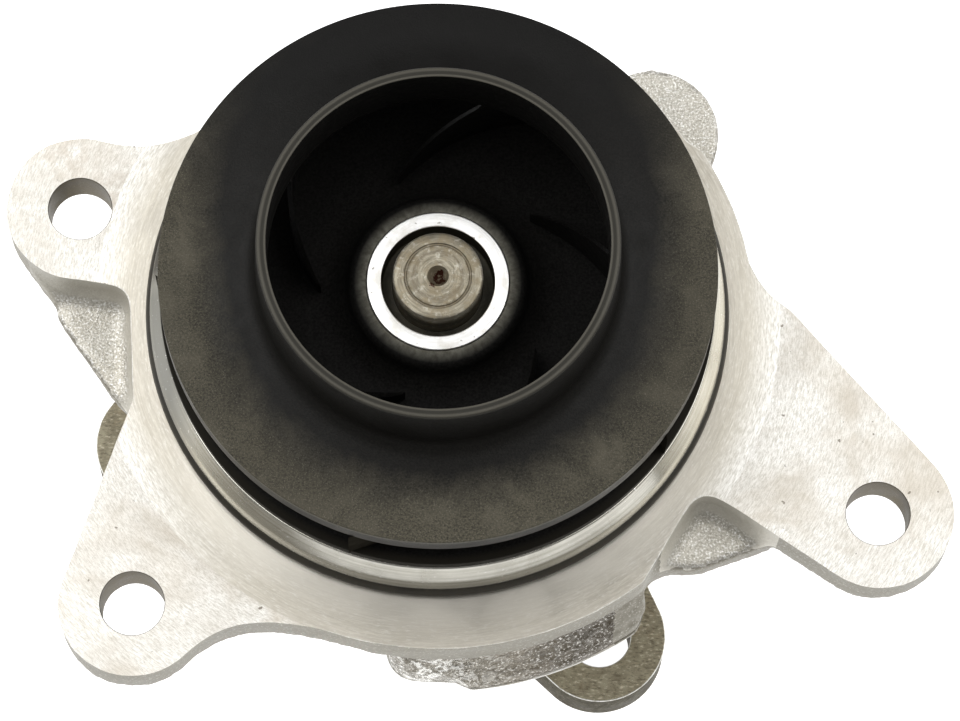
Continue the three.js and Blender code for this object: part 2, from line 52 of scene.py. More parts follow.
# ---- sizes, in millimetres ----
FACE_Z = 88.6
PLATE_T = 10
SPIGOT_R = 51.7
SPIGOT_TOP_Z = 99.6
CHAMBER_R = 47.5
CHAMBER_FLOOR_Z = 97.5
GROOVE_R = 49.2
GROOVE_H = 3.8
LUG_HOLE_R = 5.75
LUGS = [(-64.8, 19.5, 13.3), (-54.1, -53.5, 13.2), (78.8, -36.8, 13.6)]
RIM_R = 49
RIM_Z = 118
EYE_R = 31.35
EYE_BORE_R = 29.6
EYE_Z = 135.6
NECK_FOOT_R = 41
DISC_R = 49.4
DISC_BACK_Z = 100.4
OUTLET_FLOOR_Z = 102.6
VANES = 5
FIRST_VANE = 36
BALLS = 8
BALL_R = 3.17
BALL_PITCH_R = 12.1
BALL_ROW_Z = 66
BALL_TRACK_R = 3.35
ROLLERS = 10
FLANGE_T = 12
FLANGE_TURN = -54
FLANGE_EAR_AT = 53.7
FLANGE_HOLE_R = 6
TURNED_RISE = 0.02
PARTING_LOW = 65.5
PARTING_HIGH = 66.1
CAST_BELOW_Z = 80
FINE = 192

# ---- colours that several finishes share ----
SCRATCHED = (0.57, 0.545, 0.485), (0.96, 0.945, 0.905)
TURNED_DARK = (0.54, 0.50, 0.42)
# Edge colour: partly wear, partly painted highlight on rounded edges.
WEAR_AND_HIGHLIGHT = (0.97, 0.965, 0.94)


# ---- outlines ----
def radius(p):
    return math.hypot(p.x, p.y)


def polar(r, degrees):
    a = math.radians(degrees)
    return r * math.cos(a), r * math.sin(a)


def arc(x, y, r, start, end, steps=None):
    steps = steps or max(4, int(abs(end - start) * math.pi / 180 * r / 0.9))
    found = [polar(r, start + (end - start) * i / steps) for i in range(steps + 1)]
    return [(x + dx, y + dy) for dx, dy in found]


def bezier(points, steps=14):
    """Points of the Bezier curve with these control points."""

    def at(t):
        level = [Vector(p) for p in points]
        while len(level) > 1:
            level = [a.lerp(b, t) for a, b in zip(level, level[1:])]
        return tuple(level[0])

    return [at(i / steps) for i in range(steps + 1)]


def clean(loop, least=0.15):
    """The loop without points closer together than the least gap."""
    kept = []
    for p in loop:
        if not kept or math.dist(p, kept[-1]) > least:
            kept.append(p)
    if math.dist(kept[0], kept[-1]) < least:
        kept.pop()
    return kept


def circle(x, y, r, steps=64):
    """A circle that runs clockwise, as a hole does."""
    return arc(x, y, r, 360, 0, steps)[:-1]


def rounded(corners, steps=5):
    """A closed profile of (x, y, corner radius), each corner eased over about that length."""
    made = []
    for i, (x, y, r) in enumerate(corners):
        here = Vector((x, y))
        before = Vector(corners[i - 1][:2]) - here
        after = Vector(corners[(i + 1) % len(corners)][:2]) - here
        if r <= 0:
            made.append((x, y))
            continue
        a = here + before.normalized() * min(r, before.length * 0.48)
        b = here + after.normalized() * min(r, after.length * 0.48)
        made += bezier([a, here, b], steps)
    return made


def plate_outline():
    """Outline of the mounting plate and its three lugs, anticlockwise."""
    upper, lower, right = LUGS
    side = (0.5, 0, 56.7)
    back = (0.5, 0, 55.5)
    front = (0, 0, 61.6)

    def at(centre, degrees):
        x, y = polar(centre[2], degrees)
        return centre[0] + x, centre[1] + y

    loop = arc(*side, 10, 33) + arc(*back, 36, 141)
    loop += bezier([loop[-1], (-50, 30.3), (-57.5, 31.2), at(upper, 80)])
    loop += arc(*upper, 80, 254)
    loop += [(-60, 5.4)]
    loop += bezier([(-60, 5.4), (-55.4, 5.2), (-55.4, 0.6)], 6)
    loop += [(-54.6, -16), (-59.7, -30.4), (-64.2, -43)]
    loop += arc(*lower, 168, 315)
    loop += bezier([loop[-1], (-37.4, -55.4), (-28.3, -55.9), at(front, -106)])
    loop += arc(*front, -106, -53.5)
    loop += [(44.3, -36.6)]
    loop += bezier([(44.3, -36.6), (46.6, -32.2), (49.4, -33.2), (52.5, -35.3)], 8)
    loop += arc(*right, -122, 41)
    loop += [(63.6, 1)]
    loop += bezier([(63.6, 1), (58.6, 4), at(side, 10)], 6)
    return clean(loop)


# ---- meshes ----
def linked(name, data):
    made = bpy.data.objects.new(name, data)
    SCENE.collection.objects.link(made)
    return made


def object_from(name, verts, faces):
    mesh = bpy.data.meshes.new(name)
    mesh.from_pydata([Vector(v) * MM for v in verts], [], faces)
    made = linked(name, mesh)
    tidy(made)
    return made


def tidy(made):
    """Merges doubled points and turns all faces outwards."""
    bm = bmesh.new()
    bm.from_mesh(made.data)
    bmesh.ops.remove_doubles(bm, verts=bm.verts, dist=1e-6)
    bmesh.ops.recalc_face_normals(bm, faces=bm.faces)
    bm.to_mesh(made.data)
    bm.free()


def lathe(name, profile, segments=FINE):
    """A closed ring: the profile is a closed loop of (radius, height)."""
    verts, faces = [], []
    count = len(profile)
    for s in range(segments):
        c, d = math.cos(TURN * s / segments), math.sin(TURN * s / segments)
        verts += [(r * c, r * d, z) for r, z in profile]
    for s in range(segments):
        a, b = s * count, (s + 1) % segments * count
        for i in range(count):
            j = (i + 1) % count
            faces.append((a + i, b + i, b + j, a + j))
    return object_from(name, verts, faces)


def inset(loop, amount):
    """The loop drawn in by an amount at each corner."""
    made = []
    for i, p in enumerate(loop):
        a, b, c = Vector(loop[i - 1]), Vector(p), Vector(loop[(i + 1) % len(loop)])
        u, v = (b - a).normalized(), (c - b).normalized()
        n1, n2 = Vector((-u.y, u.x)), Vector((-v.y, v.x))
        n = n1 + n2
        n = n / max(n.length_squared / 2, 0.6)
        made.append(tuple(b + n * amount))
    return made


def prism(name, loops, levels):
    """A closed prism of an outline and its holes. A level is (height, inset of the outline)."""
    verts, faces = [], []
    starts = []
    for z, amount in levels:
        starts.append(len(verts))
        for loop in loops:
            verts += [(x, y, z) for x, y in inset(loop, amount)]
    for low, high in zip(starts, starts[1:]):
        at = 0
        for loop in loops:
            n = len(loop)
            for i in range(n):
                j = (i + 1) % n
                faces.append((low + at + i, low + at + j, high + at + j, high + at + i))
            at += n
    flat = [[Vector((x, y, 0)) for x, y in loop] for loop in loops]
    for tri in tessellate_polygon(flat):
        faces.append(tuple(starts[0] + i for i in reversed(tri)))
        faces.append(tuple(starts[-1] + i for i in tri))
    return object_from(name, verts, faces)


def baked(made):
    """Applies the object's modifiers."""
    evaluated = made.evaluated_get(bpy.context.evaluated_depsgraph_get())
    mesh = bpy.data.meshes.new_from_object(evaluated)
    made.modifiers.clear()
    made.data = mesh
    return made


def joined(name, parts):
    """One object made of all the parts, which it uses up."""
    bm = bmesh.new()
    for part in parts:
        part.data.transform(part.matrix_world)
        bm.from_mesh(part.data)
        bpy.data.objects.remove(part)
    mesh = bpy.data.meshes.new(name)
    bm.to_mesh(mesh)
    bm.free()
    return linked(name, mesh)


def combine(target, other, operation):
    """Boolean of the target with the other object, which it uses up."""
    m = target.modifiers.new("cut", "BOOLEAN")
    m.operation = operation
    m.object = other
    m.solver = "MANIFOLD"
    bpy.context.view_layer.update()
    baked(target)
    bpy.data.objects.remove(other)
    return target


def cut(target, other):
    return combine(target, other, "DIFFERENCE")


def add(target, other):
    return combine(target, other, "UNION")


def smooth(made, degrees=32):
    """Smooth shading that keeps edges sharper than the angle."""
    bm = bmesh.new()
    bm.from_mesh(made.data)
    limit = math.radians(degrees)
    for f in bm.faces:
        f.smooth = True
    for e in bm.edges:
        e.smooth = len(e.link_faces) == 2 and e.calc_face_angle(0) < limit
    bm.to_mesh(made.data)
    bm.free()
    return made


def paint_by(made, materials, choose):
    """Gives each face the material whose index choose(centre, normal) returns."""
    made.data.materials.clear()
    for material in materials:
        made.data.materials.append(material)
    for face in made.data.polygons:
        face.material_index = choose(face.center / MM, face.normal)


# ---- node materials ----
class Paint:
    """Procedural nodes around one Principled shader, in the part's own coordinates."""

    def __init__(self, name, **values):
        self.material = bpy.data.materials.new(name)
        self.material.use_nodes = True
        self.tree = self.material.node_tree
        self.shader = self.tree.nodes["Principled BSDF"]
        self.coords = self.node("ShaderNodeTexCoord").outputs["Object"]
        for socket, value in values.items():
            self.shader.inputs[socket.replace("_", " ")].default_value = value

    def node(self, kind, inputs=None, **settings):
        made = self.tree.nodes.new(kind)
        for key, value in settings.items():
            setattr(made, key, value)
        for key, value in (inputs or {}).items():
            if isinstance(value, bpy.types.NodeSocket):
                self.tree.links.new(value, made.inputs[key])
            else:
                made.inputs[key].default_value = value
        return made

    def math(self, operation, a, b=0.0):
        return self.node("ShaderNodeMath", {0: a, 1: b}, operation=operation).outputs[0]

    def times(self, a, b):
        return self.math("MULTIPLY", a, b)

    def length(self, vector):
        return self.node("ShaderNodeVectorMath", {0: vector}, operation="LENGTH").outputs["Value"]

    def xyz(self, vector=None):
        return self.node("ShaderNodeSeparateXYZ", {0: vector or self.coords}).outputs

    def plan(self):
        """The point with its height taken out."""
        x, y, _ = self.xyz()
        return self.node("ShaderNodeCombineXYZ", {0: x, 1: y}).outputs[0]

    def noise(self, scale, detail=4, rough=0.55, vector=None, distortion=0.0):
        sockets = {"Vector": vector or self.coords, "Scale": scale, "Detail": detail}
        sockets |= {"Roughness": rough, "Distortion": distortion}
        return self.node("ShaderNodeTexNoise", sockets).outputs["Fac"]

    def span(self, value, low, high, to_low=0.0, to_high=1.0):
        """The value mapped from low..high to to_low..to_high and held at both ends."""
        sockets = {"Value": value, "From Min": low, "From Max": high}
        sockets |= {"To Min": to_low, "To Max": to_high}
        return self.node("ShaderNodeMapRange", sockets).outputs["Result"]

    def mix(self, factor, a, b):
        """Colour a where the factor is 0, b where it is 1."""
        a, b = ((*c, 1) if isinstance(c, tuple) else c for c in (a, b))
        return self.node("ShaderNodeMix", {0: factor, 6: a, 7: b}, data_type="RGBA").outputs[2]

    def lerp(self, factor, a, b):
        return self.node("ShaderNodeMix", {0: factor, 2: a, 3: b}, data_type="FLOAT").outputs[0]

    def pointiness(self):
        return self.node("ShaderNodeNewGeometry").outputs["Pointiness"]

    def turned_coords(self, across, along):
        """Coordinates that run quickly across a turned surface and slowly along its marks."""
        r, z = self.radius_height()
        unit = self.node("ShaderNodeVectorMath", {0: self.plan()}, operation="NORMALIZE").outputs[0]
        ux, uy, _ = self.xyz(unit)
        height = self.math("ADD", self.times(r, across), self.times(z, across))
        around = {0: self.times(ux, along), 1: self.times(uy, along), 2: height}
        return self.node("ShaderNodeCombineXYZ", around).outputs[0], r

    def near(self, x, y, reach):
        """1 at a spot of the plan, falling to 0 at its reach."""
        ends = {0: self.plan(), 1: (x * MM, y * MM, 0)}
        gap = self.node("ShaderNodeVectorMath", ends, operation="DISTANCE").outputs["Value"]
        return self.span(gap, 0.2 * reach * MM, reach * MM, 1, 0)

    def ring(self, r, middle, inner, outer, strength):
        """Strength on a circle of the plan, up to inner from it, falling to 0 at outer."""
        gap = self.math("ABSOLUTE", self.math("SUBTRACT", r, middle))
        return self.span(gap, inner, outer, strength, 0)

    def radius_height(self):
        return self.length(self.plan()), self.xyz()[2]

    def set(self, **sockets):
        """Links values to the shader's sockets."""
        for name, value in sockets.items():
            self.tree.links.new(value, self.shader.inputs[name.replace("_", " ")])

    def bump(self, layers):
        """Layers of (height socket, depth in mm), each added to the last."""
        normal = None
        for height, depth in layers:
            inputs = {"Height": height, "Strength": 1.0, "Distance": depth * MM}
            if normal is not None:
                inputs["Normal"] = normal
            normal = self.node("ShaderNodeBump", inputs).outputs["Normal"]
        self.tree.links.new(normal, self.shader.inputs["Normal"])
        return self.material

    def radial_tangent(self):
        """Stretches highlights as marks of turning do."""
        self.shader.inputs["Anisotropic Rotation"].default_value = 0.25
        tangent = self.node("ShaderNodeTangent", direction_type="RADIAL", axis="Z")
        self.tree.links.new(tangent.outputs[0], self.shader.inputs["Tangent"])


def milled_aluminium():
    """Lug faces: scratches and speckle over pale metal, with brown blotches and dark specks."""
    p = Paint("milled_face", Metallic=1.0, Anisotropic=0.1)
    vector, _ = p.turned_coords(4200, 60)
    marks = p.noise(1.0, 4, 0.75, vector)
    speckle = p.noise(5200, 3, 0.75)
    blotch = p.noise(80, 6, 0.66, distortion=0.5)
    stain = p.noise(38, 4, 0.6, distortion=0.8)
    specks = p.span(p.noise(620, 2, 0.4), 0.735, 0.76)
    colour = p.mix(p.span(marks, 0.36, 0.60), *SCRATCHED)
    colour = p.mix(p.span(blotch, 0.44, 0.60, 0.3, 0), colour, (0.70, 0.655, 0.58))
    colour = p.mix(p.span(stain, 0.50, 0.64, 0, 0.6), colour, (0.56, 0.50, 0.41))
    rubbed = p.math("MAXIMUM", p.near(-58.5, 22, 9), p.near(-67, 29.5, 8))
    rubbed = p.times(rubbed, p.span(p.noise(420, 4, 0.65), 0.40, 0.58))
    colour = p.mix(p.times(rubbed, 0.6), colour, (0.55, 0.485, 0.40))
    colour = p.mix(p.span(speckle, 0.44, 0.32, 0, 0.6), colour, (0.42, 0.38, 0.31))
    colour = p.mix(p.times(specks, 0.8), colour, (0.16, 0.13, 0.09))
    p.set(Base_Color=colour, Roughness=p.span(blotch, 0.35, 0.65, 0.50, 0.38))
    p.radial_tangent()
    return p.bump([(blotch, 0.04), (speckle, 0.018), (marks, 0.016)])


def turned_aluminium():
    """The face's ring round the spigot: concentric marks, scratched like the lugs further out, and a
    painted highlight beside the seal at -Y."""
    p = Paint("turned_face", Metallic=1.0, Anisotropic=0.45)
    vector, r = p.turned_coords(3000, 9)
    marks = p.noise(1.0, 4, 0.65, vector)
    short, _ = p.turned_coords(3800, 42)
    scratches = p.noise(1.0, 4, 0.7, short)
    blotch = p.noise(80, 6, 0.66, distortion=0.5)
    _, y, _ = p.xyz()
    outside = p.times(p.span(r, 0.0560, 0.0615), p.span(y, -0.050, -0.030))
    colour = p.mix(p.span(marks, 0.34, 0.64), TURNED_DARK, (0.71, 0.67, 0.58))
    colour = p.mix(p.span(scratches, 0.48, 0.34, 0, 0.6), colour, TURNED_DARK)
    colour = p.mix(p.span(scratches, 0.54, 0.66, 0, 0.5), colour, (0.93, 0.91, 0.86))
    colour = p.mix(p.span(blotch, 0.44, 0.60, 0.3, 0), colour, (0.68, 0.64, 0.56))
    worn = p.mix(p.span(scratches, 0.36, 0.60), *SCRATCHED)
    colour = p.mix(outside, colour, worn)
    # Painted highlight: the band beside the seal at -Y is coloured pale.
    inner = p.times(p.span(r, 0.0525, 0.0590, 0.9, 0), p.span(y, -0.022, -0.046))
    colour = p.mix(inner, colour, (0.92, 0.88, 0.79))
    p.set(Base_Color=colour, Roughness=p.span(blotch, 0.35, 0.65, 0.41, 0.32))
    p.radial_tangent()
    return p.bump([(blotch, 0.03), (marks, 0.010)])


def spigot_aluminium():
    """The fine-turned locating spigot and the bores, with a dull film in patches; the side at -X is
    darker and duller as painted shade, darkest towards +Y.
    """
    p = Paint("turned_spigot", Metallic=1.0, Anisotropic=0.5)
    vector, _ = p.turned_coords(3600, 1.5)
    marks = p.noise(1.0, 4, 0.6, vector)
    film = p.noise(140, 4, 0.6, distortion=0.5)
    nicks = p.span(p.noise(1500, 2, 0.5), 0.68, 0.74)
    colour = p.mix(p.span(marks, 0.35, 0.65), (0.45, 0.435, 0.375), (0.62, 0.605, 0.55))
    colour = p.mix(p.span(film, 0.5, 0.75, 0, 0.3), colour, (0.40, 0.38, 0.315))
    x, y, _ = p.xyz()
    # Painted shade: the side at -X is darkened and dulled, and darker still towards +Y.
    left = p.span(x, -0.0475, -0.042, 1, 0)
    colour = p.mix(p.times(left, 0.9), colour, (0.27, 0.265, 0.235))
    colour = p.mix(p.times(left, p.span(y, 0.003, 0.006)), colour, (0.05, 0.045, 0.035))
    colour = p.mix(p.times(nicks, 0.7), colour, (0.97, 0.96, 0.94))
    p.set(Base_Color=colour, Metallic=p.lerp(left, 1.0, 0.3))
    p.set(Roughness=p.lerp(left, p.span(film, 0.3, 0.7, 0.20, 0.30), 0.5))
    p.radial_tangent()
    return p.bump([(film, 0.02), (marks, 0.010), (nicks, 0.02)])


def drilled_aluminium():
    """Walls of the bolt holes, coloured dark as painted shade in the holes."""
    p = Paint("drilled_wall", Metallic=0.9)
    film = p.noise(240, 5, 0.65, distortion=0.5)
    grain = p.noise(2600, 3, 0.6)
    # Painted shade: the hole walls are coloured far darker than the metal.
    colour = p.mix(p.span(film, 0.35, 0.65), (0.070, 0.055, 0.030), (0.140, 0.116, 0.070))
    colour = p.mix(p.span(grain, 0.58, 0.7, 0, 0.5), colour, (0.30, 0.26, 0.185))
    p.set(Base_Color=colour, Roughness=p.span(film, 0.3, 0.7, 0.42, 0.6))
    return p.bump([(film, 0.08), (grain, 0.04)])


def cast_aluminium():
    """Sand-cast skin: fine bright grains on beige; edges lighter, partly wear and partly painted
    highlight; steep pocket walls above the webs lighter as painted light, darker towards -X.
    """
    p = Paint("cast_aluminium", Metallic=0.75)
    _, _, up = p.xyz(p.node("ShaderNodeTexCoord").outputs["Normal"])
    x, _, z = p.xyz()
    drawn = p.times(p.span(up, 0.84, 0.62), p.span(z, 0.0790, 0.0805))
    grain = p.noise(2700, 3, 0.65)
    lumps = p.noise(700, 4, 0.6)
    stain = p.noise(60, 5, 0.65, distortion=0.6)
    edge = p.span(p.pointiness(), 0.53, 0.60)
    colour = p.mix(p.span(stain, 0.35, 0.7), (0.55, 0.52, 0.45), (0.66, 0.635, 0.57))
    colour = p.mix(p.span(grain, 0.36, 0.50, 0.65, 0), colour, (0.30, 0.275, 0.22))
    colour = p.mix(p.span(grain, 0.54, 0.62, 0, 0.9), colour, (0.98, 0.97, 0.94))
    # Painted light: steep walls in the pockets above the webs are coloured lighter against their
    # shade, darker towards -X.
    lit_pocket_wall = p.mix(p.span(x, -0.060, -0.074), (0.64, 0.61, 0.53), (0.30, 0.28, 0.225))
    colour = p.mix(p.times(drawn, 0.85), colour, lit_pocket_wall)
    # Edges lightened: partly wear, partly painted highlight.
    colour = p.mix(p.times(edge, 0.75), colour, WEAR_AND_HIGHLIGHT)
    p.set(Metallic=p.lerp(drawn, 0.75, 0.35))
    p.set(Base_Color=colour, Roughness=p.span(stain, 0.3, 0.7, 0.34, 0.46))
    return p.bump([(lumps, 0.13), (grain, 0.14)])


def flank_aluminium():
    """Crinkled flank under the ring: fold crests painted as highlights at one end, dark grains at
    the other, painted shade of the crevice at the +X end, and edges lightened as wear and painted
    highlight.
    """
    p = Paint("cast_flank", Metallic=1.0)
    grain = p.noise(1900, 4, 0.7)
    fold = p.noise(430, 4, 0.6, distortion=1.2)
    x, _, _ = p.xyz()
    along = p.math("ADD", x, p.span(fold, 0.3, 0.7, -0.004, 0.004))
    shade = p.span(along, 0.002, 0.014)
    painted_crevice_shade = p.span(along, 0.013, 0.024)
    edge = p.span(p.pointiness(), 0.53, 0.60)
    colour = p.mix(shade, (0.27, 0.25, 0.205), (0.27, 0.24, 0.19))
    # Painted shade: the crevice at the +X end is darkened.
    colour = p.mix(painted_crevice_shade, colour, (0.10, 0.085, 0.062))
    colour = p.mix(p.span(grain, 0.36, 0.52, 0.75, 0), colour, (0.085, 0.072, 0.052))
    colour = p.mix(p.span(grain, 0.56, 0.64, 0, 0.9), colour, (0.92, 0.90, 0.85))
    # Painted highlight on the fold crests, fading towards +X.
    crest_highlight = p.times(p.span(fold, 0.50, 0.57), p.span(shade, 0, 1, 0.8, 0.08))
    colour = p.mix(crest_highlight, colour, (0.96, 0.95, 0.91))
    # Edges lightened: partly wear, partly painted highlight.
    colour = p.mix(p.times(edge, 0.85), colour, WEAR_AND_HIGHLIGHT)
    p.set(Base_Color=colour, Roughness=p.lerp(shade, 0.16, 0.36))
    return p.bump([(fold, 0.9), (grain, 0.25)])


def wall_aluminium():
    """The smoother drawn side walls of the casting, coloured darker than the tops as painted shade,
    with edges lightened as wear and painted highlight.
    """
    p = Paint("cast_side_wall", Metallic=0.4)
    grain = p.noise(2300, 3, 0.6)
    lumps = p.noise(260, 4, 0.55)
    stain = p.noise(45, 5, 0.6, distortion=0.4)
    edge = p.span(p.pointiness(), 0.54, 0.62)
    # Painted shade: the side walls are a darker copy of the cast colour.
    colour = p.mix(p.span(stain, 0.35, 0.7), (0.23, 0.212, 0.168), (0.31, 0.288, 0.232))
    colour = p.mix(p.span(grain, 0.36, 0.5, 0.4, 0), colour, (0.22, 0.205, 0.165))
    colour = p.mix(p.span(grain, 0.57, 0.67, 0, 0.6), colour, (0.70, 0.68, 0.62))
    # Edges lightened: partly wear, partly painted highlight.
    colour = p.mix(p.times(edge, 0.6), colour, (0.90, 0.885, 0.84))
    p.set(Base_Color=colour, Roughness=p.span(stain, 0.3, 0.7, 0.40, 0.55))
    return p.bump([(lumps, 0.12), (grain, 0.06)])


def black_plastic():
    """Glass-filled moulding: lighter towards the rim, partly olive dust and partly painted light;
    dark towards the inlet as painted shade of the neck, and darker on the far side (+Y) as painted
    shade.
    """
    p = Paint("impeller_plastic", Specular_IOR_Level=0.16)
    r, z = p.radius_height()
    grain = p.noise(2600, 3, 0.7)
    speckle = p.noise(4600, 2, 0.6)
    flow, _ = p.turned_coords(200, 6.0)
    swirl = p.noise(1.0, 4, 0.6, flow)
    blotch = p.noise(110, 5, 0.62, distortion=0.8)
    _, y, _ = p.xyz()
    # Painted shade: the lighter zone is pulled in on the far side (+Y).
    far_side_shade = p.times(p.math("MAXIMUM", y, 0.0), 0.26)
    edge = p.math("SUBTRACT", p.math("ADD", r, p.span(blotch, 0.3, 0.7, -0.0012, 0.0012)), far_side_shade)
    # Lighter outer zone: partly olive dust, partly painted light; near the neck painted shade.
    dust_and_light_zone = p.span(edge, 0.0365, 0.0445)
    dusty_lit_colour = p.mix(p.span(grain, 0.35, 0.65), (0.030, 0.027, 0.019), (0.104, 0.094, 0.066))
    dusty_lit_colour = p.mix(p.span(blotch, 0.45, 0.66, 0, 0.6), dusty_lit_colour, (0.125, 0.113, 0.083))
    dusty_lit_colour = p.mix(p.span(p.noise(36, 4, 0.6), 0.42, 0.6, 0.35, 0), dusty_lit_colour, (0.038, 0.034, 0.024))
    bare_in_shade = p.mix(p.span(grain, 0.35, 0.65), (0.005, 0.0047, 0.004), (0.013, 0.012, 0.010))
    colour = p.mix(dust_and_light_zone, bare_in_shade, dusty_lit_colour)
    dust = p.times(p.span(speckle, 0.58, 0.72, 0, 0.6), dust_and_light_zone)
    colour = p.mix(dust, colour, (0.24, 0.22, 0.175))
    # Painted shade: darker again towards the far side (+Y).
    colour = p.mix(p.span(y, 0.015, 0.035, 0, 0.85), colour, (0.004, 0.0037, 0.0033))
    top = p.span(z, 0.1346, 0.1352)
    colour = p.mix(top, colour, (0.030, 0.028, 0.022))
    # Painted highlights: thin light lines on the lip's inner and outer edges.
    outer_edge_highlight = p.ring(r, 0.0309, 0.0001, 0.0004, 0.7)
    inner_edge_highlight = p.ring(r, 0.0298, 0.0001, 0.0003, 0.8)
    lip_edge_highlights = p.times(p.math("MAXIMUM", outer_edge_highlight, inner_edge_highlight), top)
    colour = p.mix(lip_edge_highlights, colour, (0.105, 0.098, 0.080))
    # Painted shade: the rim's side wall is darkened.
    wall = p.times(p.span(z, 0.1172, 0.1166), p.span(r, 0.0485, 0.0488))
    colour = p.mix(wall, colour, (0.020, 0.018, 0.014))
    rough = p.span(p.math("ADD", blotch, swirl), 0.7, 1.3, 0.36, 0.56)
    p.set(Base_Color=colour, Roughness=rough)
    return p.bump([(blotch, 0.06), (swirl, 0.02), (grain, 0.05), (speckle, 0.025)])


def wet_plastic():
    """The impeller's inner walls and blades, almost black, with the collar round the insert coloured
    grey as a painted highlight.
    """
    p = Paint("impeller_plastic_inside", Specular_IOR_Level=0.07)
    r, z = p.radius_height()
    grain = p.noise(2200, 3, 0.65)
    streak, _ = p.turned_coords(900, 14)
    marks = p.noise(1.0, 4, 0.6, streak)
    # Painted highlight: the collar beside the insert is coloured grey.
    collar = p.times(p.span(r, 0.0130, 0.0148, 1, 0), p.span(z, 0.1084, 0.1096))
    colour = p.mix(p.span(grain, 0.35, 0.65), (0.0040, 0.0038, 0.0035), (0.0115, 0.0110, 0.0100))
    grey = p.mix(p.span(marks, 0.35, 0.65), (0.075, 0.070, 0.055), (0.15, 0.145, 0.12))
    colour = p.mix(collar, colour, grey)
    olive = p.span(r, 0.0475, 0.0486)
    tinge = p.mix(p.span(z, 0.1026, 0.1032), (0.016, 0.014, 0.010), (0.036, 0.033, 0.024))
    colour = p.mix(olive, colour, tinge)
    p.set(Base_Color=colour, Roughness=p.span(marks, 0.3, 0.7, 0.42, 0.6))
    return p.bump([(marks, 0.02), (grain, 0.03)])


def insert_metal():
    """Bright turned face of the bush, with a few dark pits."""
    p = Paint("insert_metal", Metallic=1.0, Anisotropic=0.15)
    vector, _ = p.turned_coords(3400, 2.5)
    marks = p.noise(1.0, 4, 0.65, vector)
    stain = p.noise(260, 4, 0.6)
    pits = p.span(p.noise(700, 2, 0.5), 0.70, 0.73)
    colour = p.mix(p.span(marks, 0.35, 0.60), (0.88, 0.875, 0.85), (0.99, 0.985, 0.97))
    colour = p.mix(p.span(stain, 0.52, 0.66, 0, 0.5), colour, (0.66, 0.63, 0.55))
    colour = p.mix(p.times(pits, 0.7), colour, (0.25, 0.23, 0.19))
    p.set(Base_Color=colour, Roughness=p.span(marks, 0.3, 0.7, 0.32, 0.44))
    p.radial_tangent()
    return p.bump([(stain, 0.02), (marks, 0.012)])


def recess_metal():
    """The insert's counterbore, coloured near black as painted shade in the recess."""
    p = Paint("insert_recess", Metallic=0.6)
    vector, _ = p.turned_coords(2400, 3.0)
    marks = p.noise(1.0, 4, 0.65, vector)
    film = p.noise(380, 5, 0.65, distortion=0.6)
    # Painted shade: the counterbore is coloured far darker than the metal.
    colour = p.mix(p.span(film, 0.35, 0.65), (0.020, 0.018, 0.012), (0.055, 0.050, 0.035))
    colour = p.mix(p.span(marks, 0.58, 0.7, 0, 0.4), colour, (0.12, 0.11, 0.085))
    p.set(Base_Color=colour, Roughness=p.span(film, 0.3, 0.7, 0.4, 0.6))
    return p.bump([(film, 0.04), (marks, 0.02)])


def shaft_steel():
    """Turned steel with a grime ring and rust beside the centre drill."""
    p = Paint("shaft_steel", Metallic=0.85)
    vector, r = p.turned_coords(3000, 1.6)
    marks = p.noise(1.0, 4, 0.7, vector)
    film = p.noise(380, 5, 0.7)
    rust = p.noise(900, 4, 0.65)
    wander = p.math("ADD", r, p.span(film, 0.3, 0.7, -0.0004, 0.0004))
    grime = p.ring(wander, 0.0057, 0.0001, 0.0005, 0.6)
    _, y, _ = p.xyz()
    below = p.span(y, 0.0005, -0.0020, 0.0, 0.12)
    middle = p.span(r, 0.0008, 0.0036, 0.20, -0.25)
    spots = p.span(p.math("ADD", p.math("ADD", rust, middle), below), 0.66, 0.72)
    colour = p.mix(p.span(marks, 0.36, 0.64), (0.21, 0.185, 0.135), (0.42, 0.385, 0.30))
    colour = p.mix(p.span(film, 0.47, 0.58, 0, 0.75), colour, (0.30, 0.25, 0.165))
    colour = p.mix(p.span(rust, 0.56, 0.66, 0, 0.6), colour, (0.62, 0.59, 0.50))
    inner_grime = p.ring(wander, 0.0043, 0.0001, 0.0006, 0.45)
    colour = p.mix(inner_grime, colour, (0.15, 0.12, 0.08))
    colour = p.mix(grime, colour, (0.11, 0.088, 0.055))
    colour = p.mix(spots, colour, (0.060, 0.020, 0.012))
    p.set(Base_Color=colour, Roughness=p.span(film, 0.35, 0.7, 0.32, 0.6))
    return p.bump([(film, 0.14), (rust, 0.07), (marks, 0.03)])


def flange_steel(name, tone, shine):
    """Dull olive-plated forging; the tone scales its lightness, and a low tone gives a copy in
    painted shade.
    """

    def scaled(*colour):
        return tuple(tone * v for v in colour)

    p = Paint(name, Metallic=shine, Specular_IOR_Level=shine)
    turned = {"Vector": p.coords, "Rotation": (0, 0, 0.75), "Scale": (1, 2.4, 1)}
    grain = p.noise(900, 4, 0.7, p.node("ShaderNodeMapping", turned).outputs[0])
    lumps = p.noise(420, 4, 0.6)
    rust = p.noise(120, 6, 0.68, distortion=1.0)
    colour = p.mix(p.span(lumps, 0.35, 0.65), scaled(0.25, 0.22, 0.15), scaled(0.38, 0.345, 0.245))
    colour = p.mix(p.span(rust, 0.58, 0.72, 0, 0.35), colour, scaled(0.30, 0.20, 0.105))
    colour = p.mix(p.span(grain, 0.56, 0.66, 0, 0.7), colour, scaled(0.70, 0.64, 0.50))
    colour = p.mix(p.span(grain, 0.46, 0.36, 0, 0.7), colour, scaled(0.12, 0.10, 0.066))
    p.set(Base_Color=colour, Roughness=p.span(rust, 0.3, 0.7, 0.36, 0.6))
    return p.bump([(lumps, 0.10), (grain, 0.08)])


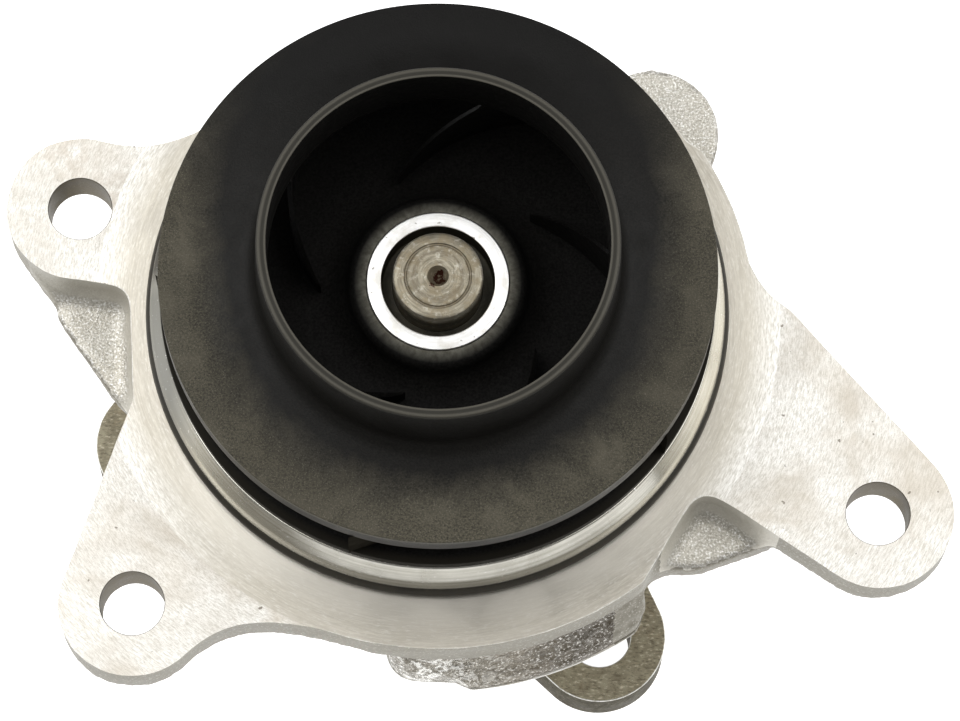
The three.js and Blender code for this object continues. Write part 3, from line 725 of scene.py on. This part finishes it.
def worn_edge_highlight():
    """Edge of the forging, lightened partly as wear and partly as painted highlight."""
    p = Paint("flange_edge", Metallic=0.8)
    wear = p.noise(700, 4, 0.65)
    # Painted highlight with wear: the bevel is coloured near white.
    p.set(Base_Color=p.mix(p.span(wear, 0.32, 0.5), (0.45, 0.42, 0.34), (0.95, 0.94, 0.89)))
    p.set(Roughness=p.span(wear, 0.35, 0.65, 0.42, 0.3))
    return p.bump([(wear, 0.05)])


def rubber(name, dark, light, roughness):
    p = Paint(name)
    grain = p.noise(1800, 3, 0.6)
    film = p.noise(180, 4, 0.6)
    colour = p.mix(p.span(film, 0.3, 0.7), dark, light)
    colour = p.mix(p.span(grain, 0.6, 0.75, 0, 0.4), colour, tuple(min(1, 2.2 * c) for c in light))
    p.set(Base_Color=colour, Roughness=p.span(film, 0.3, 0.7, roughness - 0.08, roughness + 0.12))
    return p.bump([(film, 0.03), (grain, 0.02)])


def ground_steel(name, dark, light, roughness):
    p = Paint(name, Metallic=1.0, Anisotropic=0.3)
    vector, _ = p.turned_coords(3000, 2.0)
    marks = p.noise(1.0, 4, 0.6, vector)
    film = p.noise(150, 4, 0.6, distortion=0.5)
    colour = p.mix(p.span(marks, 0.35, 0.65), dark, light)
    colour = p.mix(p.span(film, 0.55, 0.75, 0, 0.4), colour, tuple(0.6 * c for c in dark))
    p.set(Base_Color=colour, Roughness=p.span(film, 0.3, 0.7, roughness - 0.06, roughness + 0.1))
    return p.bump([(marks, 0.012), (film, 0.02)])


def moulded(name, dark, light, roughness, shine=0.5):
    p = Paint(name, Specular_IOR_Level=shine)
    grain = p.noise(1500, 3, 0.6)
    flow = p.noise(140, 4, 0.6, distortion=1.2)
    colour = p.mix(p.span(flow, 0.3, 0.7), dark, light)
    p.set(Base_Color=colour, Roughness=p.span(grain, 0.3, 0.7, roughness - 0.06, roughness + 0.08))
    return p.bump([(flow, 0.02), (grain, 0.02)])


MILLED = milled_aluminium()
TURNED = turned_aluminium()
CAST = cast_aluminium()
WALL_SHADED = wall_aluminium()
SPIGOT = spigot_aluminium()
DRILLED = drilled_aluminium()
FLANK = flank_aluminium()
PLASTIC = black_plastic()
INSIDE = wet_plastic()
INSERT = insert_metal()
RECESS = recess_metal()
SHAFT = shaft_steel()
FLANGE = flange_steel("flange_steel", 1.05, 0.25)
# Painted shade: the flange's side walls get a darker, duller copy of its paint.
FLANGE_SIDE_SHADED = flange_steel("flange_side_shaded", 0.34, 0.02)
FLANGE_EDGE = worn_edge_highlight()
OLIVE = rubber("olive_rubber", (0.018, 0.015, 0.009), (0.036, 0.031, 0.019), 0.48)
BLACK = rubber("black_rubber", (0.012, 0.012, 0.012), (0.025, 0.025, 0.024), 0.62)
BEARING = ground_steel("bearing_steel", (0.50, 0.50, 0.51), (0.68, 0.68, 0.69), 0.22)
SPRING = ground_steel("spring_steel", (0.20, 0.20, 0.205), (0.34, 0.34, 0.345), 0.34)
STAINLESS = ground_steel("stainless", (0.52, 0.52, 0.53), (0.70, 0.70, 0.71), 0.28)
CARBON = moulded("carbon", (0.018, 0.018, 0.019), (0.035, 0.035, 0.037), 0.42)
CERAMIC = moulded("ceramic", (0.10, 0.104, 0.11), (0.16, 0.165, 0.17), 0.30)
VANE_TIP = moulded("vane_tip", (0.016, 0.014, 0.011), (0.032, 0.029, 0.022), 0.6, 0)
NYLON = moulded("cage_nylon", (0.56, 0.50, 0.36), (0.68, 0.62, 0.47), 0.48)


def place(made, body, slot, material, *nodes):
    """Puts a piece on its body in place of CAD nodes."""
    if material is not None:
        made.data.materials.clear()
        made.data.materials.append(material)
    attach(made, body)
    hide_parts(*nodes)
    return made


# ---- housing ----
def web(name, points, low, high):
    return prism(name, [clean(points)], [(low, 0), (high, 0)])


def left_web():
    """Web in the pocket beside the upper left lug, with its cove."""
    points = [(-76.2, 12.6), (-69.3, 3.4), (-69.1, 1.2), (-58.2, -14.3), (-54, -19)]
    points += [(-49, -10), (-52, 8), (-62, 12)]
    return [web("left_web", points[::-1], 76.6, 80.4), fillet(points[::-1])]


def right_web():
    """Web in the pocket beside the right lug, with its cove."""
    points = bezier([(37.5, -47.5), (41, -44.7), (45, -45.4)], 8)
    points += [(47.5, -45.1), (59, -41)]
    points += bezier([(59, -41), (61.8, -40), (61.6, -37.6)], 8)
    points += [(52, -29), (38, -33)]
    return [web("right_web", points, 74.4, 80.4), fillet(points)]


def cast_ear():
    """Rough ear behind the plate at +X +Y."""
    points = arc(39.5, 37.4, 12.3, -25, 115) + [(22, 44), (46, 20)]
    return web("cast_ear", points, 73, 78.5)


def fillet(footprint):
    """Cove where a web meets the wall of the plate."""
    cove = [(79, -2.6), (80.7, -2.6), (81.1, -1.6), (81.9, -0.8), (83.0, -0.25), (84.2, 0)]
    skirt = prism("fillet", [plate_outline()], cove)
    zone = prism("zone", [clean(footprint)], [(78, 0), (86, 0)])
    return combine(skirt, zone, "INTERSECT")


def flank():
    """The lobe that bulges under the ring at -Y."""
    skin = [(20, 79), (60.9, 79), (61.3, 76.5), (64.9, 66.6), (64.3, 65), (42, 58)]
    skin += [(27, 52), (20, 50)]
    sector = prism("sector", [flank_outline()], [(45, 0), (85, 0)])
    return combine(lathe("flank", skin), sector, "INTERSECT")


def flank_outline():
    points = [(-4, -20), (-9.2, -57)]
    points += bezier([(-9.2, -57), (-8.6, -62.8), (-3, -63)], 8)
    points += bezier([(3.5, -63.2), (7, -65.2), (11, -65.2)], 6)
    points += [(20, -64), (34.5, -55.6)]
    points += bezier([(34.5, -55.6), (39.5, -51), (36.5, -46)], 8)
    return clean(points + [(16, -20)])


def parting_line():
    """Thin flash the mould's joint left along the flank's lower edge."""
    inner, outer, proud = 58, 64.95, 0.05
    section = [(inner, PARTING_LOW), (outer, PARTING_LOW)]
    section += [(outer, PARTING_HIGH), (inner, PARTING_HIGH)]
    sector = prism("sector", [flank_outline()], [(60, -proud), (70, -proud)])
    return combine(lathe("parting_line", section), sector, "INTERSECT")


def gusset(k):
    """Rib between the barrel and the plate."""
    profile = [(20, 46), (29, 46), (52, 78.6), (52, 82.6), (20, 82.6)]
    half = 2.5
    angle = math.radians(60 * k)
    c, d = math.cos(angle), math.sin(angle)
    verts = [(r * c - t * d, r * d + t * c, z) for t in (-half, half) for r, z in profile]
    n = len(profile)
    faces = [tuple(range(n)), tuple(range(n, 2 * n))]
    faces += [(i, (i + 1) % n, n + (i + 1) % n, n + i) for i in range(n)]
    return object_from("gusset", verts, faces)


def roughen(made):
    """Sand-cast unevenness: gentle on drawn walls, grainy on the webs, folded on the flank."""
    mesh = made.data
    for v, normal in zip(mesh.vertices, [n.vector.copy() for n in mesh.vertex_normals]):
        p = v.co / MM
        strong = 1.0 if p.z < CAST_BELOW_Z else 0.35
        swell = noise.noise(p * 0.16) * 0.16
        lump = noise.noise(p * 0.55 + Vector((7, 3, 1))) * 0.10
        grit = noise.noise(p * 1.25 + Vector((2, 9, 4))) * 0.12
        fold = 0.0
        if on_flank(p):
            strong = 0.3
            ridge = 1 - 2 * abs(noise.noise(p * 0.33 + Vector((5, 1, 8))))
            inside = max(0.0, min(1.0, (p.z - 67.5) / 1.5, (77.5 - p.z) / 1.5))
            fold = inside * ((ridge - 0.5) * 0.35 + noise.noise(p * 0.8) * 0.2)
        v.co += normal * (swell + (lump + grit) * strong + fold) * MM
    return made


def on_flank(p):
    return p.z < 78.5 and p.y < -44 and -13 < p.x < 38.5 and radius(p) > 52


def casting():
    """The blank as it leaves the mould: all cast shapes grown into one skin, then roughened."""
    plate = [plate_outline(), circle(0, 0, 49, 120)]
    barrel = [(10, 22), (24.5, 22), (25.5, 23), (29.5, 78.6), (31, 91), (10, 91)]
    parts = [
        prism("plate", plate, [(FACE_Z - PLATE_T, 0), (FACE_Z + 1.5, 0)]),
        lathe("skirt", [(47, 78.6), (54, 78.6), (54, 90), (46, 90)], 120),
        lathe("barrel", barrel, 120),
        *left_web(),
        *right_web(),
        cast_ear(),
        flank(),
    ]
    parts += [gusset(k) for k in range(6)]
    blank = joined("housing_casting", parts)
    m = blank.modifiers.new("voxels", "REMESH")
    m.mode = "VOXEL"
    m.voxel_size = 0.72 * MM
    m = blank.modifiers.new("soften", "SMOOTH")
    m.factor = 0.5
    m.iterations = 5
    baked(blank)
    return roughen(blank)


def housing():
    """The casting with its machined face, bores, spigot, groove, bolt holes and weep hole."""
    made = casting()
    square = [(-120, -120), (120, -120), (120, 120), (-120, 120)]
    cut(made, prism("slab", [square], [(FACE_Z, 0), (130, 0)]))
    bore = [(2, 10), (19.15, 10), (19.15, 25.3), (20.3, 25.3), (20.3, 27.1), (19.15, 27.1)]
    bore += [(19.15, 77.7), (15.5, 77.7), (15.5, 95), (2, 95)]
    cut(made, lathe("bore", bore, 144))
    cut(made, lathe("core", [(1, 5), (6, 5), (6, 100), (1, 100)], 48))
    groove_low, groove_high, root, skirt_r = FACE_Z - 0.4, FACE_Z + GROOVE_H, 79.5, 52.9
    turned = [(CHAMBER_R, SPIGOT_TOP_Z, 0.2), (CHAMBER_R, CHAMBER_FLOOR_Z, 0.8)]
    turned += [(18.2, CHAMBER_FLOOR_Z, 0.3), (18.2, 84, 0), (15.4, 84, 0), (15.4, 80, 0)]
    turned += [(30, 80, 0), (31, 91, 1), (45.5, 91, 1), (47, root, 0)]
    turned += [(skirt_r, root, 0), (skirt_r, groove_low, 0), (GROOVE_R, groove_low, 0)]
    turned += [(GROOVE_R, groove_high, 0.2), (SPIGOT_R, groove_high, 0.25)]
    turned += [(51.25, 95.4, 0.5), (49.9, 98.6, 0.3), (49.5, SPIGOT_TOP_Z, 0.25)]
    add(made, turned_face())
    add(made, parting_line())
    add(made, lathe("turned_body", clean(rounded(turned, 4), 0.02), 256))
    for x, y, _ in LUGS:
        drill = [(0.4, 60), (LUG_HOLE_R, 60), (LUG_HOLE_R, FACE_Z - 0.12)]
        drill += [(LUG_HOLE_R + 0.15, FACE_Z + 0.05), (LUG_HOLE_R + 0.15, 95), (0.4, 95)]
        tool = lathe("drill", drill, 72)
        tool.data.transform(Matrix.Translation((x * MM, y * MM, 0)))
        cut(made, tool)
        pilot = prism("pilot", [circle(x, y, 2, 24)[::-1]], [(60, 0), (95, 0)])
        cut(made, pilot)
    weep = prism("weep", [circle(0, 0, 2.5, 32)[::-1]], [(0, 0), (24, 0)])
    lay_down = Matrix.Rotation(math.pi / 2, 4, "X")
    weep.data.transform(Matrix.Translation((0, -15 * MM, 81 * MM)) @ lay_down)
    cut(made, weep)
    paint_by(made, (CAST, MILLED, TURNED, WALL_SHADED, SPIGOT, DRILLED, FLANK), finish_of)
    smooth(made, 38)
    return place(made, "housing", "cast_aluminium", None, "pump_housing")


def finish_of(at, normal):
    """Slot of a face's finish: cast, milled, turned, drawn wall, spigot, drilled hole or flank."""
    cast, milled, turned, wall, spigot, drilled, folded = range(7)
    fold_end_x, steep, wall_foot_z, bores, rim = 32, 0.55, 70, 20.6, 52.2
    flat = normal.z > 0.9
    if flat and FACE_Z - 0.3 < at.z < FACE_Z + 0.05:
        return turned if at.z > FACE_Z + TURNED_RISE / 2 else milled
    if radius(at) < bores or (at.z > FACE_Z - 0.5 and radius(at) < rim):
        return spigot
    if any(math.hypot(at.x - x, at.y - y) < LUG_HOLE_R + 0.3 for x, y, _ in LUGS):
        return drilled
    if on_flank(at):
        flash = flat and PARTING_LOW - 0.1 < at.z < PARTING_HIGH + 0.1
        return wall if at.x >= fold_end_x else milled if flash else folded
    pocket = in_pocket(at) and at.z > CAST_BELOW_Z
    return wall if normal.z < steep and at.z > wall_foot_z and not pocket else cast


def in_pocket(p):
    """Near the webs, where the plate's wall runs into them."""
    left = -78 < p.x < -48 and -20 < p.y < 10
    return left or (40 < p.x < 61 and -46 < p.y < -25)


def turned_face():
    """The part of the machined face turned together with the spigot, a hair above the rest."""
    inner, outer, low, high = 49, 61.9, 86, FACE_Z + TURNED_RISE
    ring = lathe("turned_face", [(inner, low), (outer, low), (outer, high), (inner, high)], 256)
    limit = prism("limit", [plate_outline()], [(80, 0.15), (95, 0.15)])
    return combine(ring, limit, "INTERSECT")


def sealing_ring():
    thick, gap = 1.6, 0.1
    section = arc(GROOVE_R + gap + thick, FACE_Z + GROOVE_H / 2, thick, 0, 360, 28)[:-1]
    made = smooth(lathe("spigot_seal_ring", section))
    return place(made, "housing", "olive_rubber", OLIVE, "spigot_o_ring")


# ---- impeller ----
THROAT_Z = 124
SHROUD_INNER = bezier(
    [(EYE_BORE_R, THROAT_Z), (EYE_BORE_R + 0.4, 114.6), (38, 113.6), (RIM_R, 113)], 16
)


def inlet_shroud():
    outer = [(RIM_R, 113.0, 0.25), (RIM_R, RIM_Z, 0.25), (NECK_FOOT_R, RIM_Z + 0.1, 2.5)]
    outer += [(EYE_R + 0.65, RIM_Z + 2.0, 3.0), (EYE_R, EYE_Z, 0.55)]
    outer += [(EYE_BORE_R, EYE_Z, 0.3), (EYE_BORE_R, THROAT_Z, 0)]
    profile = clean(rounded(outer, 6) + SHROUD_INNER[:-1], 0.02)
    made = smooth(lathe("impeller_shroud", profile, 256))
    paint_by(made, (PLASTIC, INSIDE), wetted)
    return place(made, "rotor", "black_plastic", None, "impeller_inlet_shroud")


def wetted(at, _):
    """1 for the shroud's inner wall, below its rim and inside its neck."""
    r = radius(at)
    return int(r < EYE_BORE_R + 0.05 or (r < RIM_R - 0.3 and at.z < RIM_Z - 1.5))


def shroud_height(r):
    """Height of the shroud's inner wall at a radius."""
    for (r0, z0), (r1, z1) in zip(SHROUD_INNER, SHROUD_INNER[1:]):
        if r0 <= r <= r1:
            return z0 + (z1 - z0) * (r - r0) / (r1 - r0)
    return SHROUD_INNER[0][1] if r < SHROUD_INNER[0][0] else SHROUD_INNER[-1][1]


def vane(k):
    """A backward-curved blade whose angle follows the logarithm of the radius."""
    lean, inner, outer, thick = math.radians(33.5), 21.0, RIM_R - 0.3, 2.2
    nose_z, rise, steps = 109, 0.9, 26
    left, right = [], []
    for i in range(steps + 1):
        r = inner * (outer / inner) ** (i / steps)
        a = math.radians(FIRST_VANE + 360 / VANES * k) + math.log(RIM_R / r) / math.tan(lean)
        half = thick / 2 * min(1.0, 0.35 + 0.65 * i / 4)
        x, y = r * math.cos(a), r * math.sin(a)
        nx, ny = half * math.cos(a - lean), half * math.sin(a - lean)
        top = min(shroud_height(r) + 0.25, nose_z + (r - inner) * rise)
        left.append((x + nx, y + ny, top))
        right.append((x - nx, y - ny, top))
    side = left + right[::-1]
    n = len(side)
    verts = [(x, y, DISC_BACK_Z + 1) for x, y, _ in side] + side
    faces = [(i, (i + 1) % n, n + (i + 1) % n, n + i) for i in range(n)]
    count = steps + 1
    for i in range(steps):
        a, b, c, d = i, i + 1, n - 2 - i, n - 1 - i
        faces.append((a, d, c, b))
        faces.append((n + a, n + b, n + c, n + d))
    return object_from("vane", verts, faces)


def vane_disc():
    bore, hub_low, hub_high = 12.7, 98.4, 110
    disc = [(bore, hub_low, 0), (15.5, hub_low, 0.3), (17.4, DISC_BACK_Z, 0.5)]
    disc += [(DISC_R, DISC_BACK_Z, 0.3), (DISC_R, OUTLET_FLOOR_Z, 0.3)]
    disc += [(34, OUTLET_FLOOR_Z + 0.3, 6), (20, OUTLET_FLOOR_Z + 1.6, 4), (16.4, 106.6, 1.6)]
    disc += [(15.6, 109.4, 2.0), (13.6, hub_high, 0.8), (bore, hub_high, 0.1)]
    made = lathe("impeller_vanes", clean(rounded(disc, 6), 0.02))
    for k in range(VANES):
        add(made, vane(k))
    smooth(made, 30)
    paint_by(made, (INSIDE, VANE_TIP), at_tip)
    return place(made, "rotor", "black_plastic", None, "impeller_vane_disc")


def at_tip(at, _):
    """1 for the vanes' outer ends, above the disc's own rim."""
    return int(radius(at) > RIM_R - 2.2 and at.z > OUTLET_FLOOR_Z + 0.6)


def insert():
    """Metal bush in the impeller's hub, with a counterbore for the shaft's end."""
    bore, recess, outer, low, floor, top = 8.05, 10.0, 12.6, 98.4, 105.8, 110.3

    def sunk(at, _):
        return int(radius(at) < recess + 0.02 and at.z < top - 0.1)

    corners = [(bore, low, 0), (outer, low, 0), (outer, top, 0.25)]
    corners += [(recess, top, 0.25), (recess, floor, 0.4), (bore, floor, 0)]
    made = smooth(lathe("impeller_bush", rounded(corners, 4), 144))
    paint_by(made, (INSERT, RECESS), sunk)
    return place(made, "rotor", "insert_metal", None, "impeller_insert")


# ---- shaft and flange ----
def shaft():
    """Stepped shaft with the balls' track; its nose ends in a ring and a centre drill."""
    groove = []
    for dz in (-2.1, -1.4, -0.7, 0, 0.7, 1.4, 2.1):
        groove.append((BALL_PITCH_R - math.sqrt(BALL_TRACK_R**2 - dz**2), BALL_ROW_Z + dz))
    body_r, nose_r, tail_r = 9.525, 7.95, 8.9
    nose = [(body_r, 79.2), (nose_r, 79.2), (nose_r, 113.25), (7.78, 113.62), (7.4, 113.8)]
    nose += [(6.0, 113.8), (5.85, 113.62), (5.6, 113.62), (5.45, 113.74)]
    nose += [(1.9, 113.66), (1.25, 113.0), (0.7, 112.3), (0.02, 111.7)]
    tail = [(0.02, 0.8), (1.6, 0), (8.2, 0), (tail_r, 0.7), (tail_r, 21), (body_r, 21.3)]
    made = smooth(lathe("drive_shaft_visual", tail + groove + nose, 144), 35)
    return place(made, "rotor", "shaft_steel", SHAFT, "drive_shaft")


def flange_outline():
    """Three ears on tangents to the hub, with the corners between them eased."""
    hub, ear_r, eased = 23, 12.8, 0.2
    lean = math.degrees(math.acos((hub - ear_r) / FLANGE_EAR_AT))
    corner = hub / math.cos(math.radians(lean - 60))
    loop = []
    for k in range(3):
        ear = FLANGE_TURN + 120 * k
        x, y = polar(FLANGE_EAR_AT, ear)
        loop += arc(x, y, ear_r, ear - lean, ear + lean, 40)
        cx, cy = polar(corner, ear + 60)
        nx, ny = polar(FLANGE_EAR_AT, ear + 120)
        ex, ey = polar(ear_r, ear + lean)
        fx, fy = polar(ear_r, ear + 120 - lean)
        a = (cx + eased * (x + ex - cx), cy + eased * (y + ey - cy))
        b = (cx + eased * (nx + fx - cx), cy + eased * (ny + fy - cy))
        loop += bezier([a, (cx, cy), b], 12)
    return clean(loop)


def flange():
    loops = [flange_outline()]
    for k in range(3):
        loops.append(circle(*polar(FLANGE_EAR_AT, FLANGE_TURN + 120 * k), FLANGE_HOLE_R, 64))
    soft = 0.3
    levels = [(0, soft)]
    for t in (0.4, 0.8, 1.2, 1.57):
        levels.append((soft - soft * math.cos(t), soft - soft * math.sin(t)))
    levels += [(FLANGE_T - z, amount) for z, amount in levels[::-1]]
    made = prism("drive_flange_visual", loops, levels)
    bore = 9.0
    boss = [(bore, 6, 0), (17.5, 6, 0), (16.2, 12.6, 1.5), (15.5, 20, 0.8), (bore, 20, 0.4)]
    cut(made, lathe("hole", [(0.5, -5), (bore, -5), (bore, 30), (0.5, 30)], 96))
    cut(made, lathe("pin", [(0.1, -5), (0.8, -5), (0.8, 30), (0.1, 30)], 16))
    add(made, lathe("boss", clean(rounded(boss, 5), 0.02), 144))
    smooth(made, 30)
    paint_by(made, (FLANGE, FLANGE_SIDE_SHADED, FLANGE_EDGE), flange_finish)
    return place(made, "rotor", "flange_steel", None, "drive_flange")


def flange_finish(at, normal):
    """0 on the flat faces, 1 on the side walls, 2 on the bright edge between them."""
    tilt = abs(normal.z)
    return 0 if tilt > 0.97 else 1 if tilt < 0.15 else 2


# ---- inner pieces ----
def lip_seal(z):
    """Profile of a seal whose lower end is at z."""
    lip = [(9.68, z + 0.9, 0.2), (10.9, z, 0.4), (15.8, z, 0.2)]
    return lip + [(15.8, z + 2.6, 0.2), (10.9, z + 2.6, 0.3), (9.68, z + 1.7, 0.2)]


def inner_rings():
    """Rings inside the housing: name, body, slot, material, CAD node, profile."""
    race = [(15.9, 27.4, 0.2), (19.05, 27.4, 0.5), (19.05, 77.6, 0.5), (15.9, 77.6, 0.2)]
    race += [(15.9, 74.8, 0), (14.6, 74.8, 0), (14.6, 68.4, 0), (15.45, BALL_ROW_Z, 1.5)]
    race += [(14.6, 63.6, 0), (14.6, 30.2, 0), (15.9, 30.2, 0)]
    shell = [(13.2, 85, 0.2), (18.1, 85, 0.6), (18.1, 97.6, 0.3), (20.6, 97.6, 0.2)]
    shell += [(20.6, 98.4, 0.2), (17.3, 98.4, 0.6), (17.3, 85.8, 0.4), (13.2, 85.8, 0.1)]
    dish = [(8.05, 79.4, 0), (10.2, 79.4, 0.4), (13.2, 80.8, 0.2), (13.2, 81.8, 0.2)]
    dish += [(10, 81.2, 0.4), (8.05, 81.2, 0)]
    steel, black, stainless = "bearing_steel", "black_rubber", "stainless_steel"
    rows = [
        ("bearing_race", "housing", steel, BEARING, "bearing_outer_race", race),
        ("rear_lip_seal", "housing", black, BLACK, "bearing_rear_seal", lip_seal(27.5)),
        ("front_lip_seal", "housing", black, BLACK, "bearing_front_seal", lip_seal(74.9)),
        ("seal_body", "housing", stainless, STAINLESS, "seal_cartridge", shell),
        ("slinger", "rotor", stainless, STAINLESS, "slinger_ring", dish),
    ]
    for name, body, slot, material, node, corners in rows:
        made = smooth(lathe(name, clean(rounded(corners, 4), 0.02), 96))
        place(made, body, slot, material, node)


def balls():
    """A round ball in place of each faceted one."""
    for k in range(BALLS):
        node = f"bearing_ball_{k + 1}"
        low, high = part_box(node)
        centre = (low + high) / 2
        bm = bmesh.new()
        bmesh.ops.create_icosphere(bm, subdivisions=3, radius=BALL_R * MM)
        bmesh.ops.translate(bm, verts=bm.verts, vec=centre)
        mesh = bpy.data.meshes.new(f"ball_{k + 1}")
        bm.to_mesh(mesh)
        bm.free()
        made = smooth(linked(mesh.name, mesh), 60)
        place(made, "ball_train", "bearing_steel", BEARING, node)


def repaint_nodes():
    """Materials for the CAD nodes that are kept."""
    paints = {
        "bearing_retaining_ring": SPRING,
        "seal_bellows": BLACK,
        "seal_spring": SPRING,
        "seal_carbon_ring": CARBON,
        "seal_mating_ring": CERAMIC,
        "seal_seat_cup": BLACK,
        "ball_cage": NYLON,
        "roller_cage": NYLON,
    }
    paints.update({f"bearing_roller_{k + 1}": BEARING for k in range(ROLLERS)})
    for name, material in paints.items():
        node = NODES[name]
        for s in node.material_slots:
            s.material = material
        if not node.material_slots:
            node.data.materials.append(material)


# ---- stage ----
def backdrop():
    """A lit table: it glows white under the pump and less further out."""
    half = 3000
    corners = [(-half, -half, 0), (half, -half, 0), (half, half, 0), (-half, half, 0)]
    floor = object_from("floor", corners, [(0, 1, 2, 3)])
    floor.location.z = -0.4 * MM
    p = Paint("floor_paint", Roughness=0.9)
    tone = p.noise(3, 2)
    p.set(Base_Color=p.mix(p.span(tone, 0.3, 0.7), (0.58, 0.58, 0.58), (0.62, 0.62, 0.62)))
    r, _ = p.radius_height()
    p.shader.inputs["Emission Color"].default_value = (1, 1, 1, 1)
    p.set(Emission_Strength=p.span(r, 0.145, 0.32, 1.0, 0.4))
    floor.data.materials.append(p.material)


def softbox(name, at, size, power):
    """A soft lamp aimed at the pump's middle."""
    aim = Vector((0, 0, 0.09))
    light = bpy.data.lights.new(name, "AREA")
    light.shape = "RECTANGLE"
    light.size, light.size_y = size
    light.energy = power
    made = linked(name, light)
    made.location = at
    made.rotation_euler = (aim - Vector(at)).to_track_quat("-Z", "Y").to_euler()


def lights():
    world = bpy.data.worlds.new("studio")
    world.use_nodes = True
    sky = world.node_tree.nodes["Background"]
    sky.inputs["Color"].default_value = (1, 1, 1, 1)
    sky.inputs["Strength"].default_value = 0.25
    SCENE.world = world
    softbox("left_box", (-0.95, 0.3, 1.3), (1.3, 1.9), 19.4)
    softbox("right_box", (1.05, 0.25, 1.3), (1.3, 1.8), 16.2)


def camera():
    """A long lens that looks into the impeller's inlet, leaning 15 degrees."""
    data = bpy.data.cameras.new("camera")
    data.sensor_width = 36
    data.lens = 187.5
    data.clip_start, data.clip_end = 0.05, 20
    made = linked("camera", data)
    right = Vector((0.99993, 0.0, 0.01151))
    up = Vector((-0.00294, 0.96675, 0.25569))
    back = right.cross(up).normalized()
    up = back.cross(right).normalized()
    turn = Matrix((right.normalized(), up, back)).transposed()
    made.matrix_world = Matrix.Translation((-0.00235, -0.2388, 0.9584)) @ turn.to_4x4()
    SCENE.camera = made


camera()
lights()
backdrop()
housing()
sealing_ring()
inlet_shroud()
vane_disc()
insert()
shaft()
flange()
inner_rings()
balls()
repaint_nodes()
SCENE.view_settings.view_transform = "Standard"
SCENE.view_settings.look = "None"
